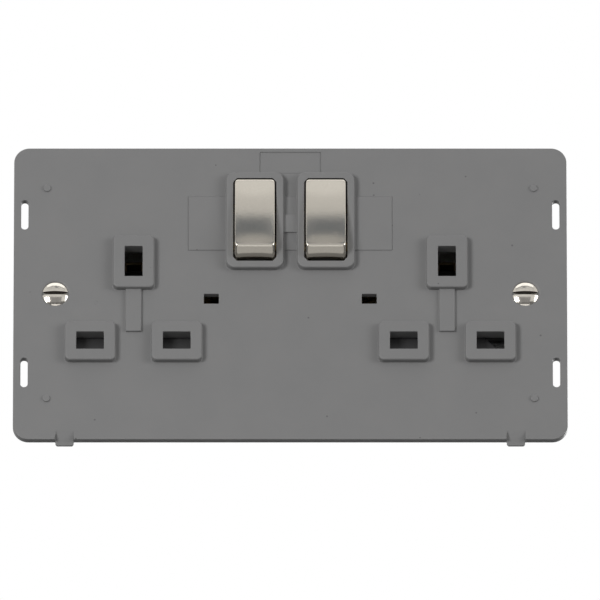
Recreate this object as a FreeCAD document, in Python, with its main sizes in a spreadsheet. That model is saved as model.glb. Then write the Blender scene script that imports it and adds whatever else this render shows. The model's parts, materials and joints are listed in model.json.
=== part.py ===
import FreeCAD, Part
import math
import os

import Sketcher

# A British 13 A twin switched socket insert, double pole, without its cover plate.
#
# The plate stands upright as it does on a wall: X runs to the right seen from the front, Z runs up and Y runs
# into the wall. The origin lies midway between the two fixing screws, on the back of the plate, so the room is
# at negative Y and the wall box at positive Y. All lengths are in millimetres and all angles in degrees.

SIZES = {
    # plate
    "plate_wide": 142.0,
    "plate_high": 82.0,
    "plate_thick": 2.2,
    "plate_corner": 4.0,
    # raised surrounds, which come up through the cover plate
    "surround_rise": 2.0,
    "surround_corner": 1.3,
    # pin apertures of each outlet, whose middle lies inward of its fixing screw
    "gang_inset": 20.1,
    "pin_pitch": 22.2,
    "pin_row_level": -14.0,
    "earth_level": 8.28,
    "flat_hole_wide": 7.1,
    "flat_hole_high": 4.8,
    "flat_surround_wide": 13.0,
    "flat_surround_high": 10.9,
    "earth_hole_wide": 4.6,
    "earth_hole_high": 8.45,
    "earth_surround_wide": 10.6,
    "earth_surround_high": 14.7,
    # rocker windows and the bearings behind them
    "rocker_offset": 9.12,
    "rocker_level": 20.0,
    "rocker_surround_wide": 14.8,
    "rocker_surround_high": 27.0,
    "rocker_surround_corner": 2.2,
    "window_wide": 11.0,
    "window_corner": 0.9,
    "pivot_depth": 2.07,
    "rocker_gap": 0.27,
    "cheek_thick": 2.0,
    "cheek_high": 10.0,
    "cheek_deep": 6.0,
    "trunnion_radius": 1.5,
    "trunnion_long": 1.4,
    "trunnion_play": 0.08,
    "trunnion_end_play": 0.2,
    "cut_past": 1.0,
    # low reliefs of the front face
    "rib_wide": 4.0,
    "rib_rise": 0.8,
    "rib_end_level": -10.9,
    "band_wide": 52.3,
    "band_high": 15.2,
    "band_level": 19.7,
    "band_rise": 0.3,
    "bridge_high": 5.0,
    "bridge_level": 19.4,
    "bridge_rise": 0.9,
    "label_wide": 15.6,
    "label_high": 5.9,
    "label_level": 36.95,
    "label_deep": 0.25,
    "pip_inset": 8.5,
    "pip_level": 29.6,
    "pip_radius": 0.98,
    "pip_rise": 0.5,
    # slots, small holes and tabs of the plate
    "slot_inset": 2.8,
    "slot_level": 22.2,
    "slot_wide": 1.87,
    "slot_high": 8.2,
    "slot_flat": 0.02,
    "latch_offset": 20.25,
    "latch_level": -1.47,
    "latch_wide": 3.84,
    "latch_high": 2.73,
    "tab_inset": 13.25,
    "tab_wide": 4.7,
    "tab_drop": 1.14,
    "tab_thick": 0.75,
    "tab_ramp": 2.5,
    "tab_bevel": 0.4,
    # rockers
    "rocker_wide": 10.2,
    "rocker_reach": 12.9,
    "rocker_face": 8.05,
    "rocker_dish": 0.35,
    "rocker_edge": 2.4,
    "rocker_tilt": 8.85,
    "cap_thick": 0.5,
    "cap_play": 0.05,
    "cap_bevel": 0.35,
    "hub_high": 5.6,
    "hollow_high": 18.0,
    "hollow_wide": 6.6,
    "hollow_floor": 6.2,
    "hub_back": 6.5,
    "plunger_bore": 1.5,
    "plunger_play": 0.15,
    "plunger_long": 4.6,
    "plunger_point": 0.7,
    "bore_floor": 1.0,
    "tip_gap": 0.1,
    # rocking contacts
    "pole_offset": 2.7,
    "arm_wide": 4.0,
    "arm_reach": 8.0,
    "arm_thick": 0.8,
    "arm_tilt": 6.0,
    "arm_corner": 0.8,
    "contact_room": 2.5,
    "tip_reach": 6.5,
    "tip_wide": 2.4,
    "tip_thick": 0.8,
    # strips
    "strip_thick": 0.6,
    "strip_depth": 14.5,
    "strip_wide": 4.0,
    "neutral_run_level": 1.0,
    "live_run_level": -4.0,
    "column_shift": 3.8,
    "jaw_wide": 5.5,
    "jaw_gap": 3.7,
    "jaw_front": 4.5,
    "jaw_bevel": 0.36,
    "earth_jaw_high": 8.5,
    "earth_pin_high": 8.0,
    "earth_jaw_front": 7.5,
    "earth_strap_wide": 5.0,
    # busbars
    "bus_thick": 0.8,
    "bus_wide": 2.4,
    "knife_high": 0.45,
    "knife_play": 0.05,
    "knife_wide": 1.0,
    "neutral_top_level": 30.8,
    "neutral_side_offset": 16.5,
    "side_ledge_drop": 4.8,
    "bus_turn_level": -10.2,
    # terminals
    "terminal_pitch": 13.0,
    "terminal_wide": 8.0,
    "terminal_low": -25.0,
    "terminal_high": 11.0,
    "terminal_front": 9.5,
    "terminal_bevel": 0.6,
    "wire_depth": 12.7,
    "wire_radius": 2.2,
    "wire_deep": 9.0,
    "wire_room": 2.7,
    "clamp_level": -19.5,
    "clamp_radius": 1.75,
    "clamp_play": 0.1,
    "clamp_head_radius": 2.7,
    "clamp_head_high": 1.4,
    "clamp_well_radius": 3.1,
    "slot_cut_wide": 0.8,
    "slot_cut_deep": 0.8,
    # rear housing
    "housing_deep": 21.5,
    "housing_wall": 1.8,
    "housing_floor": 2.0,
    "housing_corner": 1.5,
    "housing_top": 35.5,
    "lug_clearance": 10.3,
    "toe_clearance": 1.8,
    "toe_top": -8.0,
    "toe_bottom": -27.0,
    "rib_thick": 1.2,
    "ledge_start": 24.0,
    "seat_high": 0.8,
    "skirt_wall": 1.2,
    "skirt_play": 0.1,
    "skirt_deep": 3.0,
    # shutters
    "shutter_half": 15.1,
    "shutter_thick": 2.2,
    "shutter_front": 0.4,
    "shutter_cover": 0.95,
    "shutter_travel": 6.0,
    "shutter_stem_half": 3.5,
    "shutter_ramp_half": 2.2,
    "shutter_play": 0.3,
    "ramp_root": 1.0,
    "guide_gap": 4.0,
    "rail_thick": 1.0,
    "rail_high": 7.6,
    "spring_room_half": 1.8,
    "spring_room_top": 2.0,
    "lug_level": -8.0,
    "lug_high": 1.9,
    # springs
    "shutter_coil_radius": 0.8,
    "shutter_wire_radius": 0.2,
    "shutter_coil_turns": 6.0,
    "plunger_coil_radius": 0.95,
    "plunger_wire_radius": 0.2,
    "plunger_coil_turns": 4.0,
    # fixing screws
    "fixing_inset": 10.7,
    "fixing_head_radius": 3.35,
    "fixing_thread_radius": 1.75,
    "fixing_shank_radius": 1.5,
    "fixing_long": 22.0,
    "fixing_dome": 0.6,
    "fixing_slot_wide": 0.9,
    "fixing_slot_deep": 1.1,
    "fixing_hole_radius": 2.1,
    "fixing_sink": 0.15,
    "fixing_play": 0.15,
    # assembly screws, driven from the back
    "boss_shift": 6.3,
    "boss_level": -7.0,
    "boss_radius": 2.1,
    "boss_deep": 5.0,
    "boss_skin": 0.5,
    "assembly_radius": 1.3,
    "assembly_play": 0.1,
    "assembly_head_radius": 1.9,
    "assembly_head_high": 1.4,
}

SIDES = {"left": -1, "right": 1}
CHORDS = 8

doc = FreeCAD.newDocument("TwinSocket")
sheet = doc.addObject("Spreadsheet::Sheet", "sizes")
for row, (name, number) in enumerate(SIZES.items(), start=1):
    sheet.set(f"A{row}", name)
    sheet.set(f"B{row}", str(number))
    sheet.setAlias(f"B{row}", name)
doc.recompute()


class Length:
    """A number together with the expression that ties it to the cells of the sheet."""

    def __init__(self, number, text):
        self.number = number
        self.text = text

    def join(self, other, sign, number):
        return Length(number, f"({self.text} {sign} {as_length(other).text})")

    def __add__(self, other):
        return self.join(other, "+", self.number + as_length(other).number)

    def __radd__(self, other):
        return as_length(other) + self

    def __sub__(self, other):
        return self.join(other, "-", self.number - as_length(other).number)

    def __rsub__(self, other):
        return as_length(other) - self

    def __mul__(self, other):
        return self.join(other, "*", self.number * as_length(other).number)

    def __rmul__(self, other):
        return as_length(other) * self

    def __truediv__(self, other):
        return self.join(other, "/", self.number / as_length(other).number)

    def __neg__(self):
        return Length(-self.number, f"(0 - {self.text})")


def as_length(thing):
    return thing if isinstance(thing, Length) else Length(float(thing), repr(float(thing)))


def root(square):
    return Length(math.sqrt(square.number), f"sqrt({square.text})")


def sine(angle):
    return Length(math.sin(math.radians(angle.number)), f"sin({angle.text})")


def cosine(angle):
    return Length(math.cos(math.radians(angle.number)), f"cos({angle.text})")


class Sheet:
    """Gives each cell of the sheet by its alias, as a Length."""

    def __getattr__(self, alias):
        return Length(float(sheet.get(alias)), f"sizes.{alias}")


S = Sheet()
pieces = []


def bind(thing, path, length):
    thing.setExpression(path, as_length(length).text)


def place(thing, x=0, y=0, z=0, axis=None, angle=None):
    """Put an object at a point that follows the sheet, turned about an axis if one is given."""
    if axis is not None:
        thing.Placement = FreeCAD.Placement(
            FreeCAD.Vector(), FreeCAD.Rotation(FreeCAD.Vector(*axis), as_length(angle).number))
        bind(thing, "Placement.Rotation.Angle", angle)
    bind(thing, "Placement.Base.x", x)
    bind(thing, "Placement.Base.y", y)
    bind(thing, "Placement.Base.z", z)


def body(node):
    made = doc.addObject("PartDesign::Body", node)
    made.Label = node
    pieces.append(made)
    return made


def point(x, y):
    return FreeCAD.Vector(as_length(x).number, as_length(y).number, 0)


class Drawing:
    """The profile of a sketch, gathered piece by piece and then put into the sketch in one go."""

    def __init__(self):
        self.geometry = []
        self.constraints = []
        self.bound = []

    def add(self, curve):
        self.geometry.append(curve)
        return len(self.geometry) - 1

    def line(self, start, end):
        return self.add(Part.LineSegment(point(*start), point(*end)))

    def rule(self, *words):
        self.constraints.append(Sketcher.Constraint(*words))

    def measure(self, kind, *words):
        """A rule whose last word is a Length and stays bound to the sheet."""
        length = as_length(words[-1])
        self.bound.append((len(self.constraints), length))
        self.rule(kind, *words[:-1], length.number)

    def pin_down(self, element, end, x, y):
        """Fix one end of an element at x, y from the sketch's origin."""
        self.measure("DistanceX", -1, 1, element, end, x)
        self.measure("DistanceY", -1, 1, element, end, y)

    def outline(self, corners):
        """A closed outline through corners, each an x and y pair."""
        count = len(corners)
        first = len(self.geometry)
        for i in range(count):
            self.line(corners[i], corners[(i + 1) % count])
        for i in range(count):
            self.rule("Coincident", first + i, 2, first + (i + 1) % count, 1)
            self.pin_down(first + i, 1, *corners[i])

    def span(self, left, right, low, top):
        """A sharp rectangle between these four sides."""
        self.outline([(left, low), (right, low), (right, top), (left, top)])

    def box(self, x, y, wide, high):
        """A sharp rectangle of this width and height round the point x, y."""
        self.span(x - wide / 2, x + wide / 2, y - high / 2, y + high / 2)

    def rounded_box(self, x, y, wide, high, corner):
        """A rectangle with rounded corners round the point x, y."""
        left, right, low, top = x - wide / 2, x + wide / 2, y - high / 2, y + high / 2
        first = len(self.geometry)
        self.line((left + corner, low), (right - corner, low))
        self.line((right, low + corner), (right, top - corner))
        self.line((right - corner, top), (left + corner, top))
        self.line((left, top - corner), (left, low + corner))
        centres = [(right - corner, low + corner), (right - corner, top - corner),
                   (left + corner, top - corner), (left + corner, low + corner)]
        for i, centre in enumerate(centres):
            start = math.radians(90 * i - 90)
            circle = Part.Circle(point(*centre), FreeCAD.Vector(0, 0, 1), corner.number)
            self.add(Part.ArcOfCircle(circle, start, start + math.pi / 2))
        for i in range(4):
            self.rule("Tangent", first + i, 2, first + 4 + i, 1)
            self.rule("Tangent", first + 4 + i, 2, first + (i + 1) % 4, 1)
            self.rule("Horizontal" if i % 2 == 0 else "Vertical", first + i)
        for i in range(1, 4):
            self.rule("Equal", first + 4, first + 4 + i)
        self.measure("Radius", first + 4, corner)
        self.measure("DistanceY", -1, 1, first, 1, low)
        self.measure("DistanceX", -1, 1, first + 1, 1, right)
        self.measure("DistanceY", -1, 1, first + 2, 1, top)
        self.measure("DistanceX", -1, 1, first + 3, 1, left)

    def disc(self, x, y, radius):
        """A circle round the point x, y."""
        radius = as_length(radius)
        element = self.add(Part.Circle(point(x, y), FreeCAD.Vector(0, 0, 1), radius.number))
        self.measure("Radius", element, radius)
        self.pin_down(element, 3, x, y)

    def arc(self, start, end, centre):
        """An anticlockwise arc from start to end round a centre."""
        middle = point(*centre)
        first, last = point(*start) - middle, point(*end) - middle
        circle = Part.Circle(middle, FreeCAD.Vector(0, 0, 1), first.Length)
        low, high = math.atan2(first.y, first.x), math.atan2(last.y, last.x)
        element = self.add(Part.ArcOfCircle(circle, low, high))
        self.pin_down(element, 3, *centre)
        self.pin_down(element, 1, *start)
        if abs(last.y) > abs(last.x):
            self.measure("DistanceX", -1, 1, element, 2, end[0])
        else:
            self.measure("DistanceY", -1, 1, element, 2, end[1])

    def path(self, corners):
        """Straight lines from corner to corner, left open."""
        for start, end in zip(corners, corners[1:]):
            element = self.line(start, end)
            self.pin_down(element, 1, *start)
            self.pin_down(element, 2, *end)
        return len(self.geometry) - len(corners) + 1

    def put_into(self, sketch):
        sketch.addGeometry(self.geometry, False)
        sketch.addConstraint(self.constraints)
        for index, length in self.bound:
            bind(sketch, f"Constraints[{index}]", length)


PLANE_SIGN = {"XZ_Plane": -1, "YZ_Plane": 1, "XY_Plane": 1}


def sketch_on(owner, role, at):
    """A sketch parallel to one of the body's own planes, at this distance along the plane's global axis."""
    sketch = owner.newObject("Sketcher::SketchObject", f"{owner.Name}_sketch")
    plane = [item for item in owner.Origin.OriginFeatures if item.Role == role][0]
    sketch.AttachmentSupport = (plane, [""])
    sketch.MapMode = "FlatFace"
    bind(sketch, "AttachmentOffset.Base.z", as_length(at) * PLANE_SIGN[role])
    return sketch


def extrude(owner, kind, role, low, high, draw):
    """Add (Pad) or remove (Pocket) a profile between two distances along the plane's axis."""
    along_normal = kind == "Pad"
    start = low if along_normal == (PLANE_SIGN[role] > 0) else high
    sketch = sketch_on(owner, role, start)
    drawing = Drawing()
    draw(drawing)
    drawing.put_into(sketch)
    feature = owner.newObject(f"PartDesign::{kind}", f"{owner.Name}_{kind.lower()}")
    feature.Profile = sketch
    bind(feature, "Length", as_length(high) - low)
    feature.Refine = False
    return feature


def pad(owner, role, low, high, draw):
    return extrude(owner, "Pad", role, low, high, draw)


def pocket(owner, role, low, high, draw):
    return extrude(owner, "Pocket", role, low, high, draw)


def dress(owner, kind, size, wanted):
    """Round (Fillet) or bevel (Chamfer) the edges of the body that a test picks."""
    doc.recompute()
    base = owner.Tip
    names = [f"Edge{i}" for i, edge in enumerate(base.Shape.Edges, start=1) if wanted(edge)]
    if not names:
        raise ValueError(f"no edge to dress on {owner.Label}")
    feature = owner.newObject(f"PartDesign::{kind}", f"{owner.Name}_{kind.lower()}")
    feature.Base = (base, names)
    bind(feature, "Radius" if kind == "Fillet" else "Size", size)
    owner.Tip = feature
    return feature


def lies_at(edge, axis, value):
    """True if the whole edge lies at this value of one axis."""
    bounds = edge.BoundBox
    low, high = getattr(bounds, f"{axis}Min"), getattr(bounds, f"{axis}Max")
    value = as_length(value).number
    return abs(low - value) < 0.01 and abs(high - value) < 0.01


def runs_along(edge, axis):
    """True if the edge is a straight one parallel to this axis."""
    bounds = edge.BoundBox
    lengths = {"X": bounds.XLength, "Y": bounds.YLength, "Z": bounds.ZLength}
    others = [lengths[key] for key in lengths if key != axis]
    return max(others) < 0.01 < lengths[axis]


# Places that several pieces share
plate_front = -S.plate_thick
surround_front = plate_front - S.surround_rise
floor_depth = S.housing_deep - S.housing_floor
rocker_ridge = root(S.rocker_reach * S.rocker_reach - S.rocker_face * S.rocker_face)
window_radius = S.rocker_reach + S.rocker_gap
fixing_offset = S.plate_wide / 2 - S.fixing_inset
gang_offset = fixing_offset - S.gang_inset
toe_half = fixing_offset - S.toe_clearance
body_half = fixing_offset - S.lug_clearance
arm_depth = S.strip_depth - S.contact_room
arm_front = arm_depth - S.arm_thick
bus_front = arm_depth + S.knife_high
bus_back = bus_front + S.bus_thick
strip_back = S.strip_depth + S.strip_thick
strap_front = floor_depth - S.strip_thick
terminal_top = S.terminal_low + S.terminal_high
shutter_back = S.shutter_front + S.shutter_thick


terminal_spots = {"earth": -1.5 * S.terminal_pitch, "neutral": -0.5 * S.terminal_pitch,
                  "live": 0.5 * S.terminal_pitch, "earth_spare": 1.5 * S.terminal_pitch}
POLES = ("neutral", "live")


def gang_centre(side):
    return gang_offset * SIDES[side]


def rocker_centre(side):
    return S.rocker_offset * SIDES[side]


def housing_outline(inset):
    """Corners of the rear housing's outline, drawn in by inset all round, anticlockwise from lower left."""
    half = [
        (toe_half - inset, S.toe_bottom + inset),
        (toe_half - inset, S.toe_top - inset),
        (body_half - inset, S.toe_top - inset),
        (body_half - inset, S.housing_top - inset),
    ]
    return half + [(-x, z) for x, z in reversed(half)]


def boss_spots():
    """Centres of the two screws that hold the rear housing, each amid the holes of an outlet."""
    return {side: ((gang_offset - S.boss_shift) * SIDES[side], S.boss_level) for side in SIDES}


def flat_pin_centres(side):
    return [gang_centre(side) - S.pin_pitch / 2, gang_centre(side) + S.pin_pitch / 2]


def make_front_plate():
    """The grey front moulding: plate, surrounds, reliefs, rocker bearings and shutter guides in one piece."""
    plate = body("front_plate")
    zero = as_length(0)
    pad(plate, "XZ_Plane", plate_front, zero,
        lambda s: s.rounded_box(zero, zero, S.plate_wide, S.plate_high, S.plate_corner))

    def draw_ribs(s):
        """The bar that runs down from each earth surround, which its upper end reaches into."""
        top = S.earth_level - S.earth_surround_high / 2 + S.surround_corner
        for side in SIDES:
            middle = gang_centre(side)
            s.span(middle - S.rib_wide / 2, middle + S.rib_wide / 2, S.rib_end_level, top)

    def draw_bridge(s):
        """The bar between the rockers, which reaches under the rounded corners of their surrounds."""
        wide = 2 * (S.rocker_offset + S.rocker_surround_corner) - S.rocker_surround_wide
        s.box(zero, S.bridge_level, wide, S.bridge_high)

    def draw_surrounds(s):
        for side in SIDES:
            for x in flat_pin_centres(side):
                s.rounded_box(x, S.pin_row_level, S.flat_surround_wide, S.flat_surround_high, S.surround_corner)
            s.rounded_box(gang_centre(side), S.earth_level, S.earth_surround_wide, S.earth_surround_high,
                        S.surround_corner)
            s.rounded_box(rocker_centre(side), S.rocker_level, S.rocker_surround_wide, S.rocker_surround_high,
                        S.rocker_surround_corner)

    def draw_pips(s):
        for sign in (-1, 1):
            for level in (-S.pip_level, S.pip_level):
                s.disc((S.plate_wide / 2 - S.pip_inset) * sign, level, S.pip_radius)

    pad(plate, "XZ_Plane", plate_front - S.band_rise, plate_front,
        lambda s: s.box(zero, S.band_level, S.band_wide, S.band_high))
    pad(plate, "XZ_Plane", plate_front - S.rib_rise, plate_front, draw_ribs)
    pad(plate, "XZ_Plane", plate_front - S.bridge_rise, plate_front, draw_bridge)
    pad(plate, "XZ_Plane", plate_front - S.pip_rise, plate_front, draw_pips)
    pad(plate, "XZ_Plane", surround_front, plate_front, draw_surrounds)

    def draw_pin_holes(s):
        for side in SIDES:
            for x in flat_pin_centres(side):
                s.box(x, S.pin_row_level, S.flat_hole_wide, S.flat_hole_high)
            s.box(gang_centre(side), S.earth_level, S.earth_hole_wide, S.earth_hole_high)

    def draw_plate_holes(s):
        for sign in (-1, 1):
            for level in (-S.slot_level, S.slot_level):
                s.rounded_box((S.plate_wide / 2 - S.slot_inset) * sign, level, S.slot_wide, S.slot_high,
                              S.slot_wide / 2 - S.slot_flat)
            s.box(S.latch_offset * sign, S.latch_level, S.latch_wide, S.latch_high)
            s.disc(fixing_offset * sign, zero, S.fixing_hole_radius)

    pocket(plate, "XZ_Plane", surround_front, zero, draw_pin_holes)
    pocket(plate, "XZ_Plane", plate_front, zero, draw_plate_holes)
    dress(plate, "Chamfer", S.fixing_head_radius + 2 * S.fixing_play - S.fixing_hole_radius,
          lambda e: lies_at(e, "Y", plate_front) and is_round(e, S.fixing_hole_radius))
    pocket(plate, "XZ_Plane", plate_front, plate_front + S.label_deep,
           lambda s: s.box(zero, S.label_level, S.label_wide, S.label_high))

    def draw_tab_ramp(s):
        edge = -S.plate_high / 2
        s.outline([(plate_front - S.plate_thick, edge - S.tab_ramp), (-S.tab_thick, edge - S.tab_ramp),
                    (-S.tab_thick, edge), (plate_front, edge + S.tab_ramp),
                    (plate_front - S.plate_thick, edge + S.tab_ramp)])

    for sign in (-1, 1):
        middle = (S.plate_wide / 2 - S.tab_inset) * sign
        tab_low = -S.plate_high / 2 - S.tab_drop
        pocket(plate, "YZ_Plane", middle - S.tab_wide / 2, middle + S.tab_wide / 2, draw_tab_ramp)

        def draw_tab(s):
            left, right = middle - S.tab_wide / 2, middle + S.tab_wide / 2
            joined = -S.plate_high / 2 + S.tab_thick
            s.outline([(left + S.tab_bevel, tab_low), (right - S.tab_bevel, tab_low),
                        (right, tab_low + S.tab_bevel), (right, joined), (left, joined),
                        (left, tab_low + S.tab_bevel)])

        pad(plate, "XZ_Plane", -S.tab_thick, zero, draw_tab)

    def draw_seat(s):
        s.outline(housing_outline(-S.skirt_play))
        s.outline(housing_outline(S.housing_wall))

    def draw_skirt(s):
        s.outline(housing_outline(-S.skirt_play - S.skirt_wall))
        s.outline(housing_outline(-S.skirt_play))

    pad(plate, "XZ_Plane", zero, S.skirt_deep, draw_skirt)
    pad(plate, "XZ_Plane", zero, S.seat_high, draw_seat)

    def draw_cheeks(s):
        for side in SIDES:
            for sign in (-1, 1):
                middle = rocker_centre(side) + (S.window_wide + S.cheek_thick) / 2 * sign
                s.box(middle, S.rocker_level, S.cheek_thick, S.cheek_high)

    def draw_bosses(s):
        for x, z in boss_spots().values():
            s.disc(x, z, S.boss_radius)

    def draw_boss_holes(s):
        for x, z in boss_spots().values():
            s.disc(x, z, S.assembly_radius + S.assembly_play)

    def draw_guides(s):
        for side in SIDES:
            middle = gang_centre(side)
            for sign in (-1, 1):
                rail = middle + (S.shutter_half + S.shutter_play + S.rail_thick / 2) * sign
                s.box(rail, S.pin_row_level, S.rail_thick, S.rail_high)
                rail = middle + (S.shutter_stem_half + S.shutter_play + S.rail_thick / 2) * sign
                s.span(rail - S.rail_thick / 2, rail + S.rail_thick / 2, S.lug_level + S.guide_gap, S.spring_room_top)
            s.box(middle, S.lug_level - S.lug_high / 2, 2 * S.spring_room_half - 2 * S.shutter_play, S.lug_high)

    pad(plate, "XZ_Plane", zero, S.cheek_deep, draw_cheeks)
    pad(plate, "XZ_Plane", zero, S.boss_deep, draw_bosses)
    pad(plate, "XZ_Plane", zero, shutter_back, draw_guides)
    pocket(plate, "XZ_Plane", S.boss_skin, S.boss_deep, draw_boss_holes)

    cut_rocker_windows(plate)


def is_round(edge, radius):
    return hasattr(edge.Curve, "Radius") and abs(edge.Curve.Radius - radius.number) < 0.001


def cut_rocker_windows(plate):
    """Turn the windows out round the rockers' axis, so that their ends follow the swing of the rockers' noses."""
    drawing = Drawing()
    level, rim, corner = S.rocker_level, S.rocker_level + window_radius, S.window_corner
    for side in SIDES:
        left = rocker_centre(side) - S.window_wide / 2
        right = rocker_centre(side) + S.window_wide / 2
        drawing.outline([(left, level), (right, level), (right, rim - corner), (right - corner, rim),
                         (left + corner, rim), (left, rim - corner)])
    sketch = sketch_on(plate, "XZ_Plane", S.pivot_depth)
    drawing.put_into(sketch)
    groove = plate.newObject("PartDesign::Groove", "windows")
    groove.Profile = sketch
    groove.ReferenceAxis = (sketch, ["Edge1"])
    groove.Angle = 360
    groove.Refine = False

    def draw_bearing(s):
        """A keyhole, open towards the wall, that the trunnions drop into from behind."""
        slot = S.trunnion_radius + S.trunnion_play
        low, high = level - slot, level + slot
        mouth = S.cheek_deep + S.cut_past
        s.arc((S.pivot_depth, high), (S.pivot_depth, low), (S.pivot_depth, level))
        s.path([(S.pivot_depth, low), (mouth, low), (mouth, high), (S.pivot_depth, high)])

    reach = S.rocker_offset + S.window_wide / 2 + S.trunnion_long + S.trunnion_end_play
    pocket(plate, "YZ_Plane", -reach, reach, draw_bearing)


def make_back_housing():
    """The rear moulding: an open tray whose ribs carry the contacts, with wells and entries for the wiring."""
    housing = body("back_housing")
    zero = as_length(0)
    seat = S.seat_high
    pad(housing, "XZ_Plane", seat, S.housing_deep, lambda s: s.outline(housing_outline(zero)))
    hollow_corners = [corner for corner in housing_outline(zero)
                      if abs(corner[0].number) == body_half.number and corner[1].number == S.toe_top.number]

    def is_outer_corner(edge):
        middle = edge.BoundBox.Center
        return runs_along(edge, "Y") and all(
            math.hypot(middle.x - x.number, middle.z - z.number) > 0.01 for x, z in hollow_corners)

    dress(housing, "Fillet", S.housing_corner, is_outer_corner)
    pocket(housing, "XZ_Plane", seat, floor_depth, lambda s: s.outline(housing_outline(S.housing_wall)))

    def draw_strip_ledges(s):
        for sign in (-1, 1):
            outer = (gang_offset + S.column_shift + S.ledge_start) / 2
            inner = (gang_offset - S.pin_pitch / 2 + S.strip_wide / 2 + S.ledge_start) / 2
            s.box(outer * sign, S.neutral_run_level, 2 * (outer - S.ledge_start), S.rib_thick)
            s.box(inner * sign, S.live_run_level, 2 * (inner - S.ledge_start), S.rib_thick)
            s.box(S.rocker_offset * sign, S.rocker_level + S.tip_reach / 2,
                  2 * S.pole_offset + S.strip_wide, S.rib_thick)

    def draw_bus_ledges(s):
        s.box(zero, S.rocker_level, S.bus_wide, S.bus_wide)
        s.box(zero, S.neutral_top_level, 2 * S.neutral_side_offset - S.bus_wide, S.rib_thick)
        s.box(-S.neutral_side_offset, S.rocker_level - S.side_ledge_drop, S.bus_wide, S.rib_thick)

    def draw_shutter_keepers(s):
        for side in SIDES:
            for sign in (-1, 1):
                middle = gang_centre(side) + (S.shutter_half - S.shutter_play) * sign
                s.span(middle - S.rail_thick / 2, middle + S.rail_thick / 2, terminal_top + S.shutter_play,
                       S.pin_row_level + S.rail_high / 2)

    def draw_dividers(s):
        low = S.toe_bottom + S.housing_wall / 2
        high = S.bus_turn_level - S.bus_wide / 2 - S.shutter_play
        for x in (-S.terminal_pitch, zero, S.terminal_pitch):
            s.span(x - S.rib_thick / 2, x + S.rib_thick / 2, low, high)

    pad(housing, "XZ_Plane", strip_back, floor_depth, draw_strip_ledges)
    pad(housing, "XZ_Plane", bus_back, floor_depth, draw_bus_ledges)
    pad(housing, "XZ_Plane", shutter_back + S.shutter_play, floor_depth, draw_shutter_keepers)
    pad(housing, "XZ_Plane", S.terminal_front, floor_depth, draw_dividers)

    def draw_bosses(s):
        for x, z in boss_spots().values():
            s.disc(x, z, S.boss_radius)

    def draw_boss_holes(s):
        for x, z in boss_spots().values():
            s.disc(x, z, S.assembly_radius + S.assembly_play)

    def draw_head_wells(s):
        for x, z in boss_spots().values():
            s.disc(x, z, S.assembly_head_radius + 2 * S.assembly_play)

    def draw_clamp_wells(s):
        for x in terminal_spots.values():
            s.disc(x, S.clamp_level, S.clamp_well_radius)

    def draw_wire_entry(s):
        """One long notch, open towards the plate, in which the dividers part the wires of the terminals."""
        half = 1.5 * S.terminal_pitch + S.wire_room
        s.span(-half, half, seat - S.cut_past, S.wire_depth + S.wire_room)

    pad(housing, "XZ_Plane", S.boss_deep, floor_depth, draw_bosses)
    pocket(housing, "XZ_Plane", S.boss_deep, S.housing_deep, draw_boss_holes)
    pocket(housing, "XZ_Plane", S.housing_deep - S.assembly_head_high - S.assembly_play, S.housing_deep,
           draw_head_wells)
    pocket(housing, "XZ_Plane", floor_depth, S.housing_deep, draw_clamp_wells)
    pocket(housing, "XY_Plane", S.toe_bottom, S.toe_bottom + S.housing_wall, draw_wire_entry)


def draw_rocker_side(s, inset, edge):
    """The rocker seen from its side, about its pivot: a dished face between two noses that follow the swing."""
    reach, face = S.rocker_reach - inset, S.rocker_face - inset
    ridge = root(reach * reach - face * face)
    foot = root(reach * reach - edge * edge)
    outer_ridge_square = rocker_ridge * rocker_ridge
    dish_radius = (outer_ridge_square + S.rocker_dish * S.rocker_dish) / (2 * S.rocker_dish) + inset
    dish_centre = -face - root(dish_radius * dish_radius - ridge * ridge)
    s.arc((-face, -ridge), (-face, ridge), (dish_centre, as_length(0)))
    s.arc((-edge, foot), (-face, ridge), (as_length(0), as_length(0)))
    s.arc((-face, -ridge), (-edge, -foot), (as_length(0), as_length(0)))
    s.path([(-edge, -foot), (-edge, foot)])


def place_rocker(item, side, offset=0):
    place(item, rocker_centre(side) + offset, S.pivot_depth, S.rocker_level, (1, 0, 0), -S.rocker_tilt)


def make_rocker_cap(side):
    """The formed sheet-metal cap over a rocker."""
    cap = body(f"rocker_cap_{side}")
    half = S.rocker_wide / 2
    room = half - S.cap_thick
    pad(cap, "YZ_Plane", -half, half, lambda s: draw_rocker_side(s, as_length(0), S.rocker_edge))
    dress(cap, "Chamfer", S.cap_bevel,
          lambda e: (lies_at(e, "X", half) or lies_at(e, "X", -half)) and not lies_at(e, "Y", -S.rocker_edge))
    pocket(cap, "YZ_Plane", -room, room, lambda s: draw_rocker_side(s, S.cap_thick, S.rocker_edge - S.cut_past))
    place_rocker(cap, side)


def make_rocker(side):
    """The plastic rocker under a cap, with its two trunnions and the hub that carries the two plungers."""
    rocker = body(f"rocker_{side}")
    zero = as_length(0)
    skin = S.cap_thick + S.cap_play
    half = S.rocker_wide / 2 - skin
    pad(rocker, "YZ_Plane", -half, half, lambda s: draw_rocker_side(s, skin, S.rocker_edge))
    pocket(rocker, "XZ_Plane", -S.hollow_floor, -S.rocker_edge,
           lambda s: s.box(zero, zero, S.hollow_wide, S.hollow_high))
    pad(rocker, "XZ_Plane", -S.hollow_floor, S.hub_back, lambda s: s.box(zero, zero, 2 * half, S.hub_high))
    reach = S.window_wide / 2 + S.trunnion_long
    pad(rocker, "YZ_Plane", -reach, reach, lambda s: s.disc(zero, zero, S.trunnion_radius))

    def draw_bores(s):
        for sign in (-1, 1):
            s.disc(S.pole_offset * sign, zero, S.plunger_bore)

    pocket(rocker, "XZ_Plane", -S.bore_floor, S.hub_back, draw_bores)
    place_rocker(rocker, side)


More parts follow.
